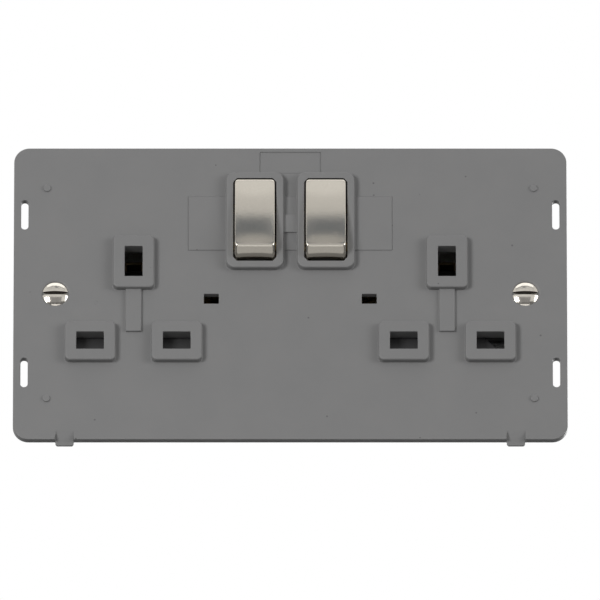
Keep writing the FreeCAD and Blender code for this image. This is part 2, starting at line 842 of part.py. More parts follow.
def pole_sign(side, pole):
    """Direction of a pole from the middle of its rocker: the neutral pole is the outer one."""
    outward = SIDES[side]
    return outward if pole == "neutral" else -outward


def pole_centre(side, pole):
    return rocker_centre(side) + S.pole_offset * pole_sign(side, pole)


def turned(node, draw):
    """A body turned about its own Y axis from a half profile of depth and radius."""
    made = body(node)
    sketch = sketch_on(made, "YZ_Plane", 0)
    drawing = Drawing()
    draw(drawing)
    drawing.put_into(sketch)
    feature = made.newObject("PartDesign::Revolution", f"{node}_turn")
    feature.Profile = sketch
    feature.ReferenceAxis = (sketch, ["H_Axis"])
    feature.Angle = 360
    return made


plunger_tip = arm_front - S.tip_gap - S.pivot_depth
plunger_radius = S.plunger_bore - S.plunger_play


def make_plunger(side, pole):
    """The blunt-nosed pin that presses a rocking contact to one side or the other."""
    zero = as_length(0)
    tip, inner, radius, point = plunger_tip, plunger_tip - S.plunger_long, plunger_radius, S.plunger_point

    def draw(s):
        s.outline([(inner, zero), (tip, zero), (tip, radius - point), (tip - point, radius), (inner, radius)])

    place_rocker(turned(f"plunger_{side}_{pole}", draw), side, S.pole_offset * pole_sign(side, pole))


def make_spring(node, coil_radius, wire_radius, turns, long, spot, angle):
    """A coil spring of square wire, bent in straight chords, from a spot along Z turned about X by an angle."""
    count = int(turns.number) * CHORDS
    rise = long - 2 * wire_radius

    def around(step):
        return as_length(360 * (step - 0.5) / CHORDS)

    chords = []
    for step in range(count):
        chord = doc.addObject("Part::Line", f"{node}_chord")
        for end, at in ((1, step), (2, step + 1)):
            bind(chord, f"X{end}", coil_radius * cosine(around(at)))
            bind(chord, f"Y{end}", coil_radius * sine(around(at)))
            bind(chord, f"Z{end}", rise * at / count)
        chords.append(chord)
    coil = doc.addObject("Part::Compound", f"{node}_coil")
    coil.Links = chords
    x, y, z = spot
    place(coil, x, y - wire_radius * sine(angle), z + wire_radius * cosine(angle), (1, 0, 0), angle)

    wire = doc.addObject("Part::RegularPolygon", f"{node}_wire")
    wire.Polygon = 4
    bind(wire, "Circumradius", wire_radius * root(as_length(2)))
    across, along = coil_radius * sine(around(0)), wire_radius
    place(wire, x + coil_radius * cosine(around(0)), y + across * cosine(angle) - along * sine(angle),
          z + across * sine(angle) + along * cosine(angle), (1, 0, 0), angle - 90)
    doc.recompute()
    spring = doc.addObject("Part::Sweep", node)
    spring.Label = node
    spring.Sections = [wire]
    spring.Spine = (coil, [f"Edge{i}" for i in range(1, count + 1)])
    spring.Solid = True
    spring.Frenet = False
    spring.Transition = "Right corner"
    pieces.append(spring)


def make_plunger_spring(side, pole):
    spot = (pole_centre(side, pole), S.pivot_depth - S.bore_floor * cosine(S.rocker_tilt),
            S.rocker_level + S.bore_floor * sine(S.rocker_tilt))
    make_spring(f"plunger_spring_{side}_{pole}", S.plunger_coil_radius, S.plunger_wire_radius,
                S.plunger_coil_turns, plunger_tip - S.plunger_long + S.bore_floor, spot, -90 - S.rocker_tilt)


def make_contact_arm(side, pole):
    """The rocking contact of one pole, which tips over the knife edge of its busbar."""
    zero = as_length(0)
    arm = body(f"contact_arm_{side}_{pole}")
    pad(arm, "XZ_Plane", -S.arm_thick, zero, lambda s: s.box(zero, zero, S.arm_wide, 2 * S.arm_reach))
    dress(arm, "Chamfer", S.arm_corner, lambda e: runs_along(e, "Y"))
    tip = body(f"moving_tip_{side}_{pole}")
    pad(tip, "XZ_Plane", zero, S.tip_thick, lambda s: s.box(zero, S.tip_reach, S.tip_wide, S.tip_wide))
    for item in (arm, tip):
        place(item, pole_centre(side, pole), arm_depth, S.rocker_level, (1, 0, 0), S.arm_tilt)


def make_outlet_contact(side, pole):
    """The strip from a pair of sprung jaws round a flat pin to the fixed contact of its pole."""
    strip = body(f"outlet_contact_{side}_{pole}")
    jaw_x = gang_centre(side) + S.pin_pitch / 2 * pole_sign(side, pole)
    pole_x = pole_centre(side, pole)
    toward = -SIDES[side]
    half = S.strip_wide / 2
    run = S.neutral_run_level if pole == "neutral" else S.live_run_level
    jaw_half = S.jaw_gap / 2 + S.strip_thick
    top = S.rocker_level + S.arm_reach
    row, near, far = S.pin_row_level, -half * toward, half * toward
    pole_end = [(pole_x + far, run - half), (pole_x + far, top), (pole_x + near, top), (pole_x + near, run + half)]
    if pole == "neutral":
        column = (gang_offset + S.column_shift) * SIDES[side]
        start = [(jaw_x, row - half), (column + far, row - half), (column + far, run - half)]
        finish = [(column + near, run + half), (column + near, row + half), (jaw_x, row + half)]
    else:
        start = [(jaw_x + near, row), (jaw_x + far, row), (jaw_x + far, run - half)]
        finish = [(jaw_x + near, run + half)]
    corners = start + pole_end + finish
    pad(strip, "XZ_Plane", S.strip_depth, strip_back, lambda s: s.outline(corners))
    pad(strip, "XZ_Plane", S.jaw_front, strip_back,
        lambda s: s.box(jaw_x, S.pin_row_level, S.jaw_wide, 2 * jaw_half))
    pocket(strip, "XZ_Plane", S.jaw_front, S.strip_depth,
           lambda s: s.box(jaw_x, S.pin_row_level, S.jaw_wide, S.jaw_gap))
    dress(strip, "Chamfer", S.jaw_bevel,
          lambda e: lies_at(e, "Y", S.jaw_front) and abs(abs(e.BoundBox.Center.z - S.pin_row_level.number)
                                                        - S.jaw_gap.number / 2) < 0.01)
    tip = body(f"fixed_tip_{side}_{pole}")
    pad(tip, "XZ_Plane", S.strip_depth - S.tip_thick, S.strip_depth,
        lambda s: s.box(pole_x, S.rocker_level + S.tip_reach, S.tip_wide, S.tip_wide))


def add_knives(bus, pole):
    for side in SIDES:
        middle = pole_centre(side, pole)

        def draw_knife(s):
            s.outline([(arm_depth + S.knife_play, S.rocker_level),
                       (bus_front, S.rocker_level - S.knife_wide / 2),
                       (bus_front, S.rocker_level + S.knife_wide / 2)])

        pad(bus, "YZ_Plane", middle - S.arm_wide / 2, middle + S.arm_wide / 2, draw_knife)


def make_live_busbar():
    bus = body("live_busbar")
    half, level, turn = S.bus_wide / 2, S.rocker_level, S.bus_turn_level
    end = S.rocker_offset - S.pole_offset + S.arm_wide / 2
    tab = terminal_spots["live"]
    corners = [
        (-half, turn - half), (tab - half, turn - half), (tab - half, terminal_top), (tab + half, terminal_top),
        (tab + half, turn + half), (half, turn + half), (half, level - half), (end, level - half),
        (end, level + half), (-end, level + half), (-end, level - half), (-half, level - half),
    ]
    pad(bus, "XZ_Plane", bus_front, bus_back, lambda s: s.outline(corners))
    add_knives(bus, "live")


def make_neutral_busbar():
    bus = body("neutral_busbar")
    half, level, turn = S.bus_wide / 2, S.rocker_level, S.bus_turn_level
    end = S.rocker_offset + S.pole_offset - S.arm_wide / 2
    side, top = S.neutral_side_offset, S.neutral_top_level
    tab = terminal_spots["neutral"]
    corners = [
        (-side - half, turn - half), (tab - half, turn - half), (tab - half, terminal_top),
        (tab + half, terminal_top), (tab + half, turn + half), (-side + half, turn + half),
        (-side + half, level - half), (-end, level - half), (-end, level + half), (-side + half, level + half),
        (-side + half, top - half), (side - half, top - half), (side - half, level + half),
        (end, level + half), (end, level - half), (side + half, level - half), (side + half, top + half),
        (-side - half, top + half),
    ]
    pad(bus, "XZ_Plane", bus_front, bus_back, lambda s: s.outline(corners))
    add_knives(bus, "neutral")


def make_earth_strap():
    strap = body("earth_strap")
    half = S.earth_strap_wide / 2
    end = gang_offset + half
    level, foot = S.earth_level, terminal_top - S.strip_wide / 2
    left, right = terminal_spots["earth"], terminal_spots["earth_spare"]
    leg = S.strip_wide / 2
    corners = [
        (-end, level - half), (left - leg, level - half), (left - leg, foot), (left + leg, foot),
        (left + leg, level - half), (right - leg, level - half), (right - leg, foot), (right + leg, foot),
        (right + leg, level - half), (end, level - half), (end, level + half), (-end, level + half),
    ]
    pad(strap, "XZ_Plane", strap_front, floor_depth, lambda s: s.outline(corners))


def make_earth_socket(side):
    """The three-sided sleeve that grips the earth pin from left and right."""
    socket = body(f"earth_socket_{side}")
    near, far = S.jaw_gap / 2, S.jaw_gap / 2 + S.strip_thick
    low = S.earth_level - S.earth_jaw_high / 2
    high = S.earth_level + S.earth_jaw_high / 2
    zero = as_length(0)
    corners = [(-far, low), (-near, low), (-near, high), (near, high), (near, low), (far, low),
               (far, high + S.strip_thick), (-far, high + S.strip_thick)]
    pad(socket, "XZ_Plane", S.earth_jaw_front, strap_front, lambda s: s.outline(corners))
    place(socket, gang_centre(side), zero, zero)


def make_terminal(name):
    """A brass block with an upright wire bore, and the screw that clamps the wire from behind."""
    zero = as_length(0)
    x = terminal_spots[name]
    block = body(f"terminal_{name}")
    pad(block, "XZ_Plane", S.terminal_front, strap_front,
        lambda s: s.span(-S.terminal_wide / 2, S.terminal_wide / 2, S.terminal_low, terminal_top))
    dress(block, "Chamfer", S.terminal_bevel, lambda e: runs_along(e, "Y"))
    pocket(block, "XY_Plane", S.terminal_low, S.terminal_low + S.wire_deep,
           lambda s: s.disc(zero, S.wire_depth, S.wire_radius))
    pocket(block, "XZ_Plane", S.wire_depth, strap_front,
           lambda s: s.disc(zero, S.clamp_level, S.clamp_radius + S.clamp_play))
    place(block, x, zero, zero)

    head = floor_depth + S.clamp_play
    tip = S.wire_depth + S.wire_radius + S.clamp_play

    def draw(s):
        s.outline([(tip, zero), (head + S.clamp_head_high, zero), (head + S.clamp_head_high, S.clamp_head_radius),
                   (head, S.clamp_head_radius), (head, S.clamp_radius), (tip, S.clamp_radius)])

    screw = turned(f"terminal_screw_{name}", draw)
    add_slot(screw, head + S.clamp_head_high - S.slot_cut_deep, head + S.clamp_head_high, S.clamp_head_radius)
    place(screw, x, zero, S.clamp_level)


def add_slot(screw, low, high, radius):
    zero = as_length(0)
    pocket(screw, "XZ_Plane", low, high, lambda s: s.box(zero, zero, 2 * (radius + S.cut_past), S.slot_cut_wide))


def make_fixing_screw(side):
    """A raised countersunk screw with a straight slot; its thread starts at the back of the plate."""
    zero = as_length(0)
    edge = plate_front + S.fixing_sink
    head, shank, thread = S.fixing_head_radius, S.fixing_shank_radius, S.fixing_thread_radius
    dome = edge - S.fixing_dome

    def draw(s):
        s.outline([(edge, head), (dome, zero), (S.fixing_long, zero), (S.fixing_long, thread), (zero, thread),
                   (zero, shank), (edge + head - shank, shank)])

    screw = turned(f"fixing_screw_{side}", draw)
    pocket(screw, "XZ_Plane", dome - S.cut_past, dome + S.fixing_slot_deep,
           lambda s: s.box(zero, zero, 2 * (head + S.cut_past), S.fixing_slot_wide))
    place(screw, fixing_offset * SIDES[side], zero, zero)


def make_assembly_screw(side):
    """One of the screws that draw the rear housing to the front moulding."""
    zero = as_length(0)
    seat = S.housing_deep - S.assembly_head_high - S.assembly_play / 2
    top = seat + S.assembly_head_high

    def draw(s):
        s.outline([(S.boss_skin + S.assembly_radius, zero), (top, zero), (top, S.assembly_head_radius),
                   (seat, S.assembly_head_radius), (seat, S.assembly_radius),
                   (S.boss_skin + S.assembly_radius, S.assembly_radius)])

    screw = turned(f"assembly_screw_{side}", draw)
    add_slot(screw, top - S.slot_cut_deep, top, S.assembly_head_radius)
    x, z = boss_spots()[side]
    place(screw, x, zero, z)


def make_shutter(side):
    """The dark slide behind the pin holes: the earth pin drives its ramp down and clears the flat pin holes."""
    shutter = body(f"shutter_{side}")
    zero = as_length(0)
    half, stem = S.shutter_half, S.shutter_stem_half
    low = S.pin_row_level - S.flat_hole_high / 2 - S.shutter_cover
    high = S.pin_row_level + S.flat_hole_high / 2 + S.shutter_cover
    top = S.earth_level - S.earth_pin_high / 2 - S.tip_gap
    front, back, travel = S.shutter_front, shutter_back, S.shutter_travel
    corners = [(-half, low), (half, low), (half, high), (stem, high), (stem, top), (-stem, top), (-stem, high),
               (-half, high)]
    pad(shutter, "XZ_Plane", front, back, lambda s: s.outline(corners))
    toe = S.earth_jaw_front - S.shutter_play

    def draw_ramp(s):
        root_level = top - S.ramp_root
        s.outline([(front, root_level), (back, root_level), (toe, top + travel - back),
                   (toe, top + travel), (front + travel, top + travel), (front, top)])

    pad(shutter, "YZ_Plane", -S.shutter_ramp_half, S.shutter_ramp_half, draw_ramp)
    pocket(shutter, "XZ_Plane", front, back,
           lambda s: s.span(-S.spring_room_half, S.spring_room_half,
                            S.lug_level - S.lug_high - S.shutter_play, S.spring_room_top))
    place(shutter, gang_centre(side), zero, zero)


def make_shutter_spring(side):
    spot = (gang_centre(side), (S.shutter_front + shutter_back) / 2, S.lug_level)
    make_spring(f"shutter_spring_{side}", S.shutter_coil_radius, S.shutter_wire_radius, S.shutter_coil_turns,
                S.spring_room_top - S.lug_level, spot, as_length(0))


make_front_plate()
make_back_housing()
make_live_busbar()
make_neutral_busbar()
make_earth_strap()
for side in SIDES:
    make_rocker_cap(side)
    make_rocker(side)
    for pole in POLES:
        make_plunger(side, pole)
        make_plunger_spring(side, pole)
        make_contact_arm(side, pole)
        make_outlet_contact(side, pole)
    make_earth_socket(side)
    make_shutter(side)
    make_shutter_spring(side)
    make_fixing_screw(side)
    make_assembly_screw(side)
for name in terminal_spots:
    make_terminal(name)


def write_pieces():
    """Check every object, then write each piece to a file of its own."""
    doc.recompute()
    for item in doc.Objects:
        if "Invalid" in item.State or "Error" in item.State:
            raise ValueError(f"{item.Label} failed: {item.State}")
    for piece in pieces:
        if piece.Shape.isNull() or not piece.Shape.isValid():
            raise ValueError(f"{piece.Label} has no sound shape")
    os.makedirs("parts", exist_ok=True)
    for piece in pieces:
        piece.Shape.exportStep(f"parts/{piece.Label}.step")
        print(piece.Label, len(piece.Shape.Solids), round(piece.Shape.Volume, 1))


write_pieces()
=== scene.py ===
import json
import math

import bmesh
import bpy
from mathutils import Matrix, Vector


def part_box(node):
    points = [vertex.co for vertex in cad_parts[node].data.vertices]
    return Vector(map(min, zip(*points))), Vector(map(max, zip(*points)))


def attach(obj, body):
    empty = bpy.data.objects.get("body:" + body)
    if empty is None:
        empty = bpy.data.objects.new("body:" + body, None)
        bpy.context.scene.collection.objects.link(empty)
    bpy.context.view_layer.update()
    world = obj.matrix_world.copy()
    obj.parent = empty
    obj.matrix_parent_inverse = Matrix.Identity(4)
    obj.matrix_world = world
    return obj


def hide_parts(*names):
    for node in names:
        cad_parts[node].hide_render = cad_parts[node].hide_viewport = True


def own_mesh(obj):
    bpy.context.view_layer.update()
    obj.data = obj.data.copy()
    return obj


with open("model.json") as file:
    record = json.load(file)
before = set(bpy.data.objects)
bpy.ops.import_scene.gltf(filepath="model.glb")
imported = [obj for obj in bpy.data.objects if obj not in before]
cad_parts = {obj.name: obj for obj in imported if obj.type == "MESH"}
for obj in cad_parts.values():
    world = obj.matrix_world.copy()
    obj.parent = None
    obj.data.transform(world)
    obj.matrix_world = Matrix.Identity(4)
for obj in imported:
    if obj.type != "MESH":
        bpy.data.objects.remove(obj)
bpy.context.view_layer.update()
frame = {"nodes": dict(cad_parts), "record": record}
scene = bpy.context.scene
scene.view_settings.view_transform = "Standard"


# The studio. The fitting stands upright, held by its two screws, and a long lens looks up at it from below
# the middle, so that the undersides of the raised surrounds show and the sides hardly converge. Two soft
# boxes light its front and one lights its back, in a dim room that the camera and the metal see as white.
MM = 0.001
VIEW_DISTANCE = 6.0
VIEW_RISE = math.radians(-24.45)
FRAME_WIDTH = 153.9 * MM
SENSOR_WIDTH = 36.0
SIGHT_LIMIT = 100
IMAGE_SIZE = 600
PLATE_FACE = -2.2 * MM
# Where the middle of that face lies in the picture, in pixels from its left and upper edges.
PLATE_FACE_PIXEL = (290.3, 293.35)

sight = Vector((0, math.cos(VIEW_RISE), -math.sin(VIEW_RISE)))
picture_up = Vector((0, math.sin(VIEW_RISE), math.cos(VIEW_RISE)))
metres_per_pixel = FRAME_WIDTH / IMAGE_SIZE
aim = Vector(((IMAGE_SIZE / 2 - PLATE_FACE_PIXEL[0]) * metres_per_pixel, PLATE_FACE, 0))
aim -= picture_up * (IMAGE_SIZE / 2 - PLATE_FACE_PIXEL[1]) * metres_per_pixel
camera_data = bpy.data.cameras.new("camera")
camera_data.sensor_width = SENSOR_WIDTH
camera_data.lens = SENSOR_WIDTH * VIEW_DISTANCE / FRAME_WIDTH
camera_data.clip_end = SIGHT_LIMIT
camera = bpy.data.objects.new("camera", camera_data)
camera.location = aim - sight * VIEW_DISTANCE
camera.rotation_euler = sight.to_track_quat("-Z", "Y").to_euler()
scene.collection.objects.link(camera)
scene.camera = camera


def hang_lamp(name, place, size, power):
    """A square soft box that faces the fitting."""
    data = bpy.data.lights.new(name, "AREA")
    data.shape = "RECTANGLE"
    data.size, data.size_y = size, size
    data.energy = power
    lamp = bpy.data.objects.new(name, data)
    lamp.location = place
    lamp.rotation_euler = (-Vector(place)).to_track_quat("-Z", "Y").to_euler()
    scene.collection.objects.link(lamp)


hang_lamp("left_lamp", place=(-0.92, -1.30, -0.08), size=0.50, power=14.0)
hang_lamp("right_lamp", place=(1.33, -0.90, 0.05), size=0.80, power=9.6)
hang_lamp("back_lamp", place=(0.95, 1.25, 0.35), size=0.60, power=9.0)


def add_node(tree, kind, sockets=None, **settings):
    """Adds a node, sets its fields, and fills its sockets with values or with what feeds them."""
    made = tree.nodes.new(kind)
    for name, value in settings.items():
        setattr(made, name, value)
    for name, value in (sockets or {}).items():
        if isinstance(value, bpy.types.NodeSocket):
            tree.links.new(value, made.inputs[name])
        else:
            made.inputs[name].default_value = value
    return made


def reckon(tree, operation, first, second=0.0):
    """One sum in a node tree."""
    return add_node(tree, "ShaderNodeMath", {0: first, 1: second}, operation=operation).outputs[0]


ROOM_LIGHT = 0.22
PAPER_LIGHT = 1.0
WHITE = (1, 1, 1, 1)
world = bpy.data.worlds.new("studio")
scene.world = world
world.use_nodes = True
tree = world.node_tree
tree.nodes.clear()
rays = add_node(tree, "ShaderNodeLightPath").outputs
seen = reckon(tree, "MAXIMUM", rays["Is Camera Ray"], rays["Is Glossy Ray"])
seen = reckon(tree, "MAXIMUM", seen, rays["Is Transmission Ray"])
room = add_node(tree, "ShaderNodeBackground", {"Color": WHITE, "Strength": ROOM_LIGHT})
paper = add_node(tree, "ShaderNodeBackground", {"Color": WHITE, "Strength": PAPER_LIGHT})
both = add_node(tree, "ShaderNodeMixShader", {0: seen, 1: room.outputs[0], 2: paper.outputs[0]})
add_node(tree, "ShaderNodeOutputWorld", {"Surface": both.outputs[0]})


# The floor: a sweep of pale paper, so far below the fitting that a view from below still stands over it,
# and that no shadow lies on it.
FLOOR_LEVEL = -9.0
FLOOR_HALF = 40.0


def new_piece(name, bm):
    """Makes an object of a mesh that was built in the CAD model's place, with smooth outward normals."""
    bmesh.ops.recalc_face_normals(bm, faces=bm.faces)
    for face in bm.faces:
        face.smooth = True
    mesh = bpy.data.meshes.new(name)
    bm.to_mesh(mesh)
    bm.free()
    piece = bpy.data.objects.new(name, mesh)
    scene.collection.objects.link(piece)
    return piece


def mix_tones(tree, share, plain, other):
    """A colour between two others, by a mask."""
    return add_node(tree, "ShaderNodeMix", {0: share, 6: plain, 7: other}, data_type="RGBA").outputs[2]


def start_finish(name, roughness, metallic=0.0):
    """Starts a material and returns it with its node tree and its shader."""
    material = bpy.data.materials.new(name)
    material.use_nodes = True
    shader = material.node_tree.nodes["Principled BSDF"]
    shader.inputs["Roughness"].default_value = roughness
    shader.inputs["Metallic"].default_value = metallic
    return material, material.node_tree, shader


bm = bmesh.new()
bm.faces.new([bm.verts.new((x * FLOOR_HALF, y * FLOOR_HALF, FLOOR_LEVEL))
              for x, y in ((-1, -1), (1, -1), (1, 1), (-1, 1))])
floor = new_piece("floor", bm)
paper_sweep, tree, shader = start_finish("paper_sweep", roughness=0.9)
fibre = add_node(tree, "ShaderNodeTexNoise", {"Scale": 3.0, "Detail": 4.0}).outputs["Fac"]
tree.links.new(mix_tones(tree, fibre, (0.84, 0.84, 0.84, 1), (0.87, 0.87, 0.87, 1)),
               shader.inputs["Base Color"])
floor.data.materials.append(paper_sweep)


# The panels round the fitting: the camera's hood, the dim canopy above it and the pale brim below it, the
# dull wall behind the camera, the tray under the fitting, and a bright tube overhead and one below. Only
# metal shows them: they give the switch caps their dark patch, and the screws their shade and bright bows.
PANEL_DISTANCE = 1.2
# Each panel's lower and upper rise in degrees, its width in metres and its tone.
PANELS = {
    "hood": (43.6, 48.9, 0.17, (0.20, 0.22, 0.25, 1)),
    "canopy": (48.9, 55.0, 1.40, (0.52, 0.52, 0.52, 1)),
    "brim": (38.5, 43.6, 1.40, (0.82, 0.82, 0.82, 1)),
    "far_wall": (-18.0, 10.0, 0.95, (0.42, 0.42, 0.43, 1)),
    "tray": (-100.0, -50.0, 1.60, (0.56, 0.56, 0.56, 1)),
    "tube_above": (56.0, 96.0, 1.20, (1.9, 1.9, 1.9, 1)),
    "tube_below": (-46.0, -28.0, 0.90, (1.9, 1.9, 1.9, 1)),
}


def hang_panel(name, low_rise, high_rise, wide, tone):
    """A glowing panel that faces the fitting between two angles of rise."""
    low, high = (Vector((0, -math.cos(rise), math.sin(rise))) * PANEL_DISTANCE
                 for rise in (math.radians(low_rise), math.radians(high_rise)))
    across = Vector((wide / 2, 0, 0))
    bm = bmesh.new()
    bm.faces.new([bm.verts.new(corner)
                  for corner in (low - across, low + across, high + across, high - across)])
    made = new_piece(name, bm)
    made.visible_camera = False
    made.visible_diffuse = False
    made.visible_shadow = False
    cloth = bpy.data.materials.new(f"{name}_cloth")
    cloth.use_nodes = True
    tree = cloth.node_tree
    tree.nodes.clear()
    glow = add_node(tree, "ShaderNodeEmission", {"Color": tone, "Strength": 1.0})
    add_node(tree, "ShaderNodeOutputMaterial", {"Surface": glow.outputs[0]})
    made.data.materials.append(cloth)


for name, (low_rise, high_rise, wide, tone) in PANELS.items():
    hang_panel(name, low_rise, high_rise, wide, tone)


# The front moulding: one piece of grey urea with a fine spark-eroded skin, injected from behind. Its
# edges are broken by the tool, it has a few dark specks in it, and faint rub marks from being packed.
SEAM = 0.002 * MM
FLAT_ANGLE = math.radians(0.5)
SMOOTH_ANGLE = math.radians(36)
BREAK_ANGLE = math.radians(50)
EDGE_BREAK = 0.2 * MM
EDGE_SEGMENTS = 2
RIM_ROUND = 0.48 * MM
RIM_SEGMENTS = 3
RIM_ANGLE = math.radians(40)
RIM_BAND = 1.0 * MM
FACE_BAND = 0.2 * MM
FAR_OFF = 1.0
SURROUND_FACE = -4.2 * MM
# The raised surrounds of both flat pins, the earth pin and the rocker, in millimetres: how far the middle
# lies to the side, its level, and the surround's width and height.
SURROUNDS = (
    (29.1, -14.0, 13.0, 10.9),
    (51.3, -14.0, 13.0, 10.9),
    (40.2, 8.28, 10.6, 14.7),
    (9.12, 20.0, 14.8, 27.0),
)
SPECK_RARITY = 0.93
RUB_SHADE = 0.05
RUB_POLISH = 0.06


def start_effect(name, controls, results):
    """Starts a shader node group with these number inputs and these outputs."""
    group = bpy.data.node_groups.new(name, "ShaderNodeTree")
    for label, value in controls.items():
        socket = group.interface.new_socket(label, in_out="INPUT", socket_type="NodeSocketFloat")
        socket.default_value = value
    for label in results:
        group.interface.new_socket(label, in_out="OUTPUT", socket_type="NodeSocketFloat")
    return group, add_node(group, "NodeGroupInput").outputs, add_node(group, "NodeGroupOutput").inputs


def step_up(tree, value, low, high):
    """Maps a value between low and high to 0 to 1, and holds it there outside them."""
    steps = add_node(tree, "ShaderNodeMapRange", {"Value": value, "From Min": low, "From Max": high})
    return steps.outputs[0]


def vary(tree, share, low, high):
    """A value between low and high, by a mask."""
    return add_node(tree, "ShaderNodeMapRange", {"Value": share, "To Min": low, "To Max": high}).outputs[0]


moulded_skin, controls, results = start_effect(
    "moulded_skin", {"Grain": 2600.0, "Cloud": 90.0}, ("Height", "Cloudiness"))
place = add_node(moulded_skin, "ShaderNodeTexCoord").outputs["Object"]
grain = add_node(moulded_skin, "ShaderNodeTexNoise",
                 {"Vector": place, "Scale": controls["Grain"], "Detail": 2.0, "Roughness": 0.6})
moulded_skin.links.new(grain.outputs["Fac"], results["Height"])
cloud = add_node(moulded_skin, "ShaderNodeTexNoise",
                 {"Vector": place, "Scale": controls["Cloud"], "Detail": 3.0, "Roughness": 0.55})
clouded = step_up(moulded_skin, cloud.outputs["Fac"], low=0.3, high=0.7)
moulded_skin.links.new(clouded, results["Cloudiness"])

stray_marks, controls, results = start_effect(
    "stray_marks", {"Specks": 420.0, "Speck Size": 0.11, "Rubs": 260.0}, ("Speck", "Rub"))
place = add_node(stray_marks, "ShaderNodeTexCoord").outputs["Object"]
cells = add_node(stray_marks, "ShaderNodeTexVoronoi", {"Vector": place, "Scale": controls["Specks"]})
near = reckon(stray_marks, "LESS_THAN", cells.outputs["Distance"], controls["Speck Size"])
chosen = add_node(stray_marks, "ShaderNodeSeparateColor", {"Color": cells.outputs["Color"]}).outputs[0]
few = reckon(stray_marks, "GREATER_THAN", chosen, SPECK_RARITY)
stray_marks.links.new(reckon(stray_marks, "MULTIPLY", near, few), results["Speck"])
slant = add_node(stray_marks, "ShaderNodeMapping",
                 {"Vector": place, "Rotation": (0.3, 0.7, 0.2), "Scale": (1.0, 1.0, 0.06)})
rubs = add_node(stray_marks, "ShaderNodeTexNoise",
                {"Vector": slant.outputs[0], "Scale": controls["Rubs"], "Detail": 2.0, "Distortion": 0.4})
stray_marks.links.new(step_up(stray_marks, rubs.outputs["Fac"], low=0.68, high=0.76), results["Rub"])

bare_edge, controls, results = start_effect("bare_edge", {"Reach": 0.25 * MM}, ("Edge",))
rounded = add_node(bare_edge, "ShaderNodeBevel", {"Radius": controls["Reach"]}, samples=4).outputs[0]
flat = add_node(bare_edge, "ShaderNodeNewGeometry").outputs["Normal"]
alike = add_node(bare_edge, "ShaderNodeVectorMath", {0: rounded, 1: flat}, operation="DOT_PRODUCT")
bare_edge.links.new(step_up(bare_edge, alike.outputs["Value"], low=0.995, high=0.90), results["Edge"])


def add_effect(tree, effect, **values):
    """Places a shader node group in a material with its own values, and returns its outputs."""
    made = add_node(tree, "ShaderNodeGroup", node_tree=effect)
    for name, value in values.items():
        made.inputs[name.replace("_", " ")].default_value = value
    return made.outputs


def raise_skin(tree, shader, height, depth):
    """Gives the shader a relief of this depth in metres."""
    bump = add_node(tree, "ShaderNodeBump", {"Height": height, "Distance": depth, "Strength": 1.0})
    tree.links.new(bump.outputs[0], shader.inputs["Normal"])


def moulded_finish(name, tone, cloud_tone, mark_tone, roughness, grain_depth):
    """The skin of a moulded plastic piece: clouded colour, specks, rub marks and a fine even grain."""
    material, tree, shader = start_finish(name, roughness)
    skin = add_effect(tree, moulded_skin)
    marks = add_effect(tree, stray_marks)
    edge = add_effect(tree, bare_edge)["Edge"]
    colour = mix_tones(tree, skin["Cloudiness"], tone, cloud_tone)
    colour = mix_tones(tree, marks["Speck"], colour, mark_tone)
    colour = mix_tones(tree, reckon(tree, "MULTIPLY", marks["Rub"], RUB_SHADE), colour, cloud_tone)
    tree.links.new(colour, shader.inputs["Base Color"])
    gloss = reckon(tree, "MAXIMUM", marks["Rub"], edge)
    tree.links.new(vary(tree, gloss, roughness, roughness - RUB_POLISH), shader.inputs["Roughness"])
    raise_skin(tree, shader, skin["Height"], grain_depth)
    return material


nodes = frame["nodes"]


def dress_nodes(names, material):
    """Gives CAD pieces a finish."""
    for name in names:
        nodes[name].data.materials.clear()
        nodes[name].data.materials.append(material)


def start_shaping(name):
    """Starts a geometry node group, and returns it with the mesh that comes in and its edges' angles."""
    group = bpy.data.node_groups.new(name, "GeometryNodeTree")
    for way in ("INPUT", "OUTPUT"):
        group.interface.new_socket("Geometry", in_out=way, socket_type="NodeSocketGeometry")
    came = add_node(group, "NodeGroupInput").outputs["Geometry"]
    return group, came, add_node(group, "GeometryNodeInputMeshEdgeAngle").outputs["Unsigned Angle"]


smooth_rounds, came, bend = start_shaping("smooth_rounds")
crisp = add_node(smooth_rounds, "FunctionNodeCompare", {0: bend, 1: SMOOTH_ANGLE}, operation="GREATER_THAN")
even = add_node(smooth_rounds, "GeometryNodeSetShadeSmooth",
                {"Geometry": came, "Shade Smooth": True}, domain="FACE").outputs[0]
kept = add_node(smooth_rounds, "GeometryNodeSetShadeSmooth",
                {"Geometry": even, "Selection": crisp.outputs[0], "Shade Smooth": False}, domain="EDGE")
add_node(smooth_rounds, "NodeGroupOutput", {"Geometry": kept.outputs[0]})


def smooth(piece):
    """Shades the rounds of a hard piece evenly and leaves its edges crisp."""
    piece.modifiers.new("smooth_rounds", "NODES").node_group = smooth_rounds
    weighted = piece.modifiers.new("flat_faces", "WEIGHTED_NORMAL")
    weighted.keep_sharp = True


def break_edges(names, width, weighing=None):
    """Rounds the sharp edges of CAD pieces by this width, or by the share of it that weighing gives."""
    for name in names:
        piece = nodes[name]
        seam = piece.modifiers.new("close_seams", "WELD")
        seam.merge_threshold = SEAM
        merge = piece.modifiers.new("merge_flats", "DECIMATE")
        merge.decimate_type = "DISSOLVE"
        merge.angle_limit = FLAT_ANGLE
        if weighing:
            piece.modifiers.new("weigh_edges", "NODES").node_group = weighing
        edge = piece.modifiers.new("edge_break", "BEVEL")
        edge.width = width
        edge.segments = RIM_SEGMENTS if weighing else EDGE_SEGMENTS
        edge.limit_method = "WEIGHT" if weighing else "ANGLE"
        edge.angle_limit = BREAK_ANGLE
        edge.use_clamp_overlap = False
        edge.loop_slide = False
        smooth(piece)


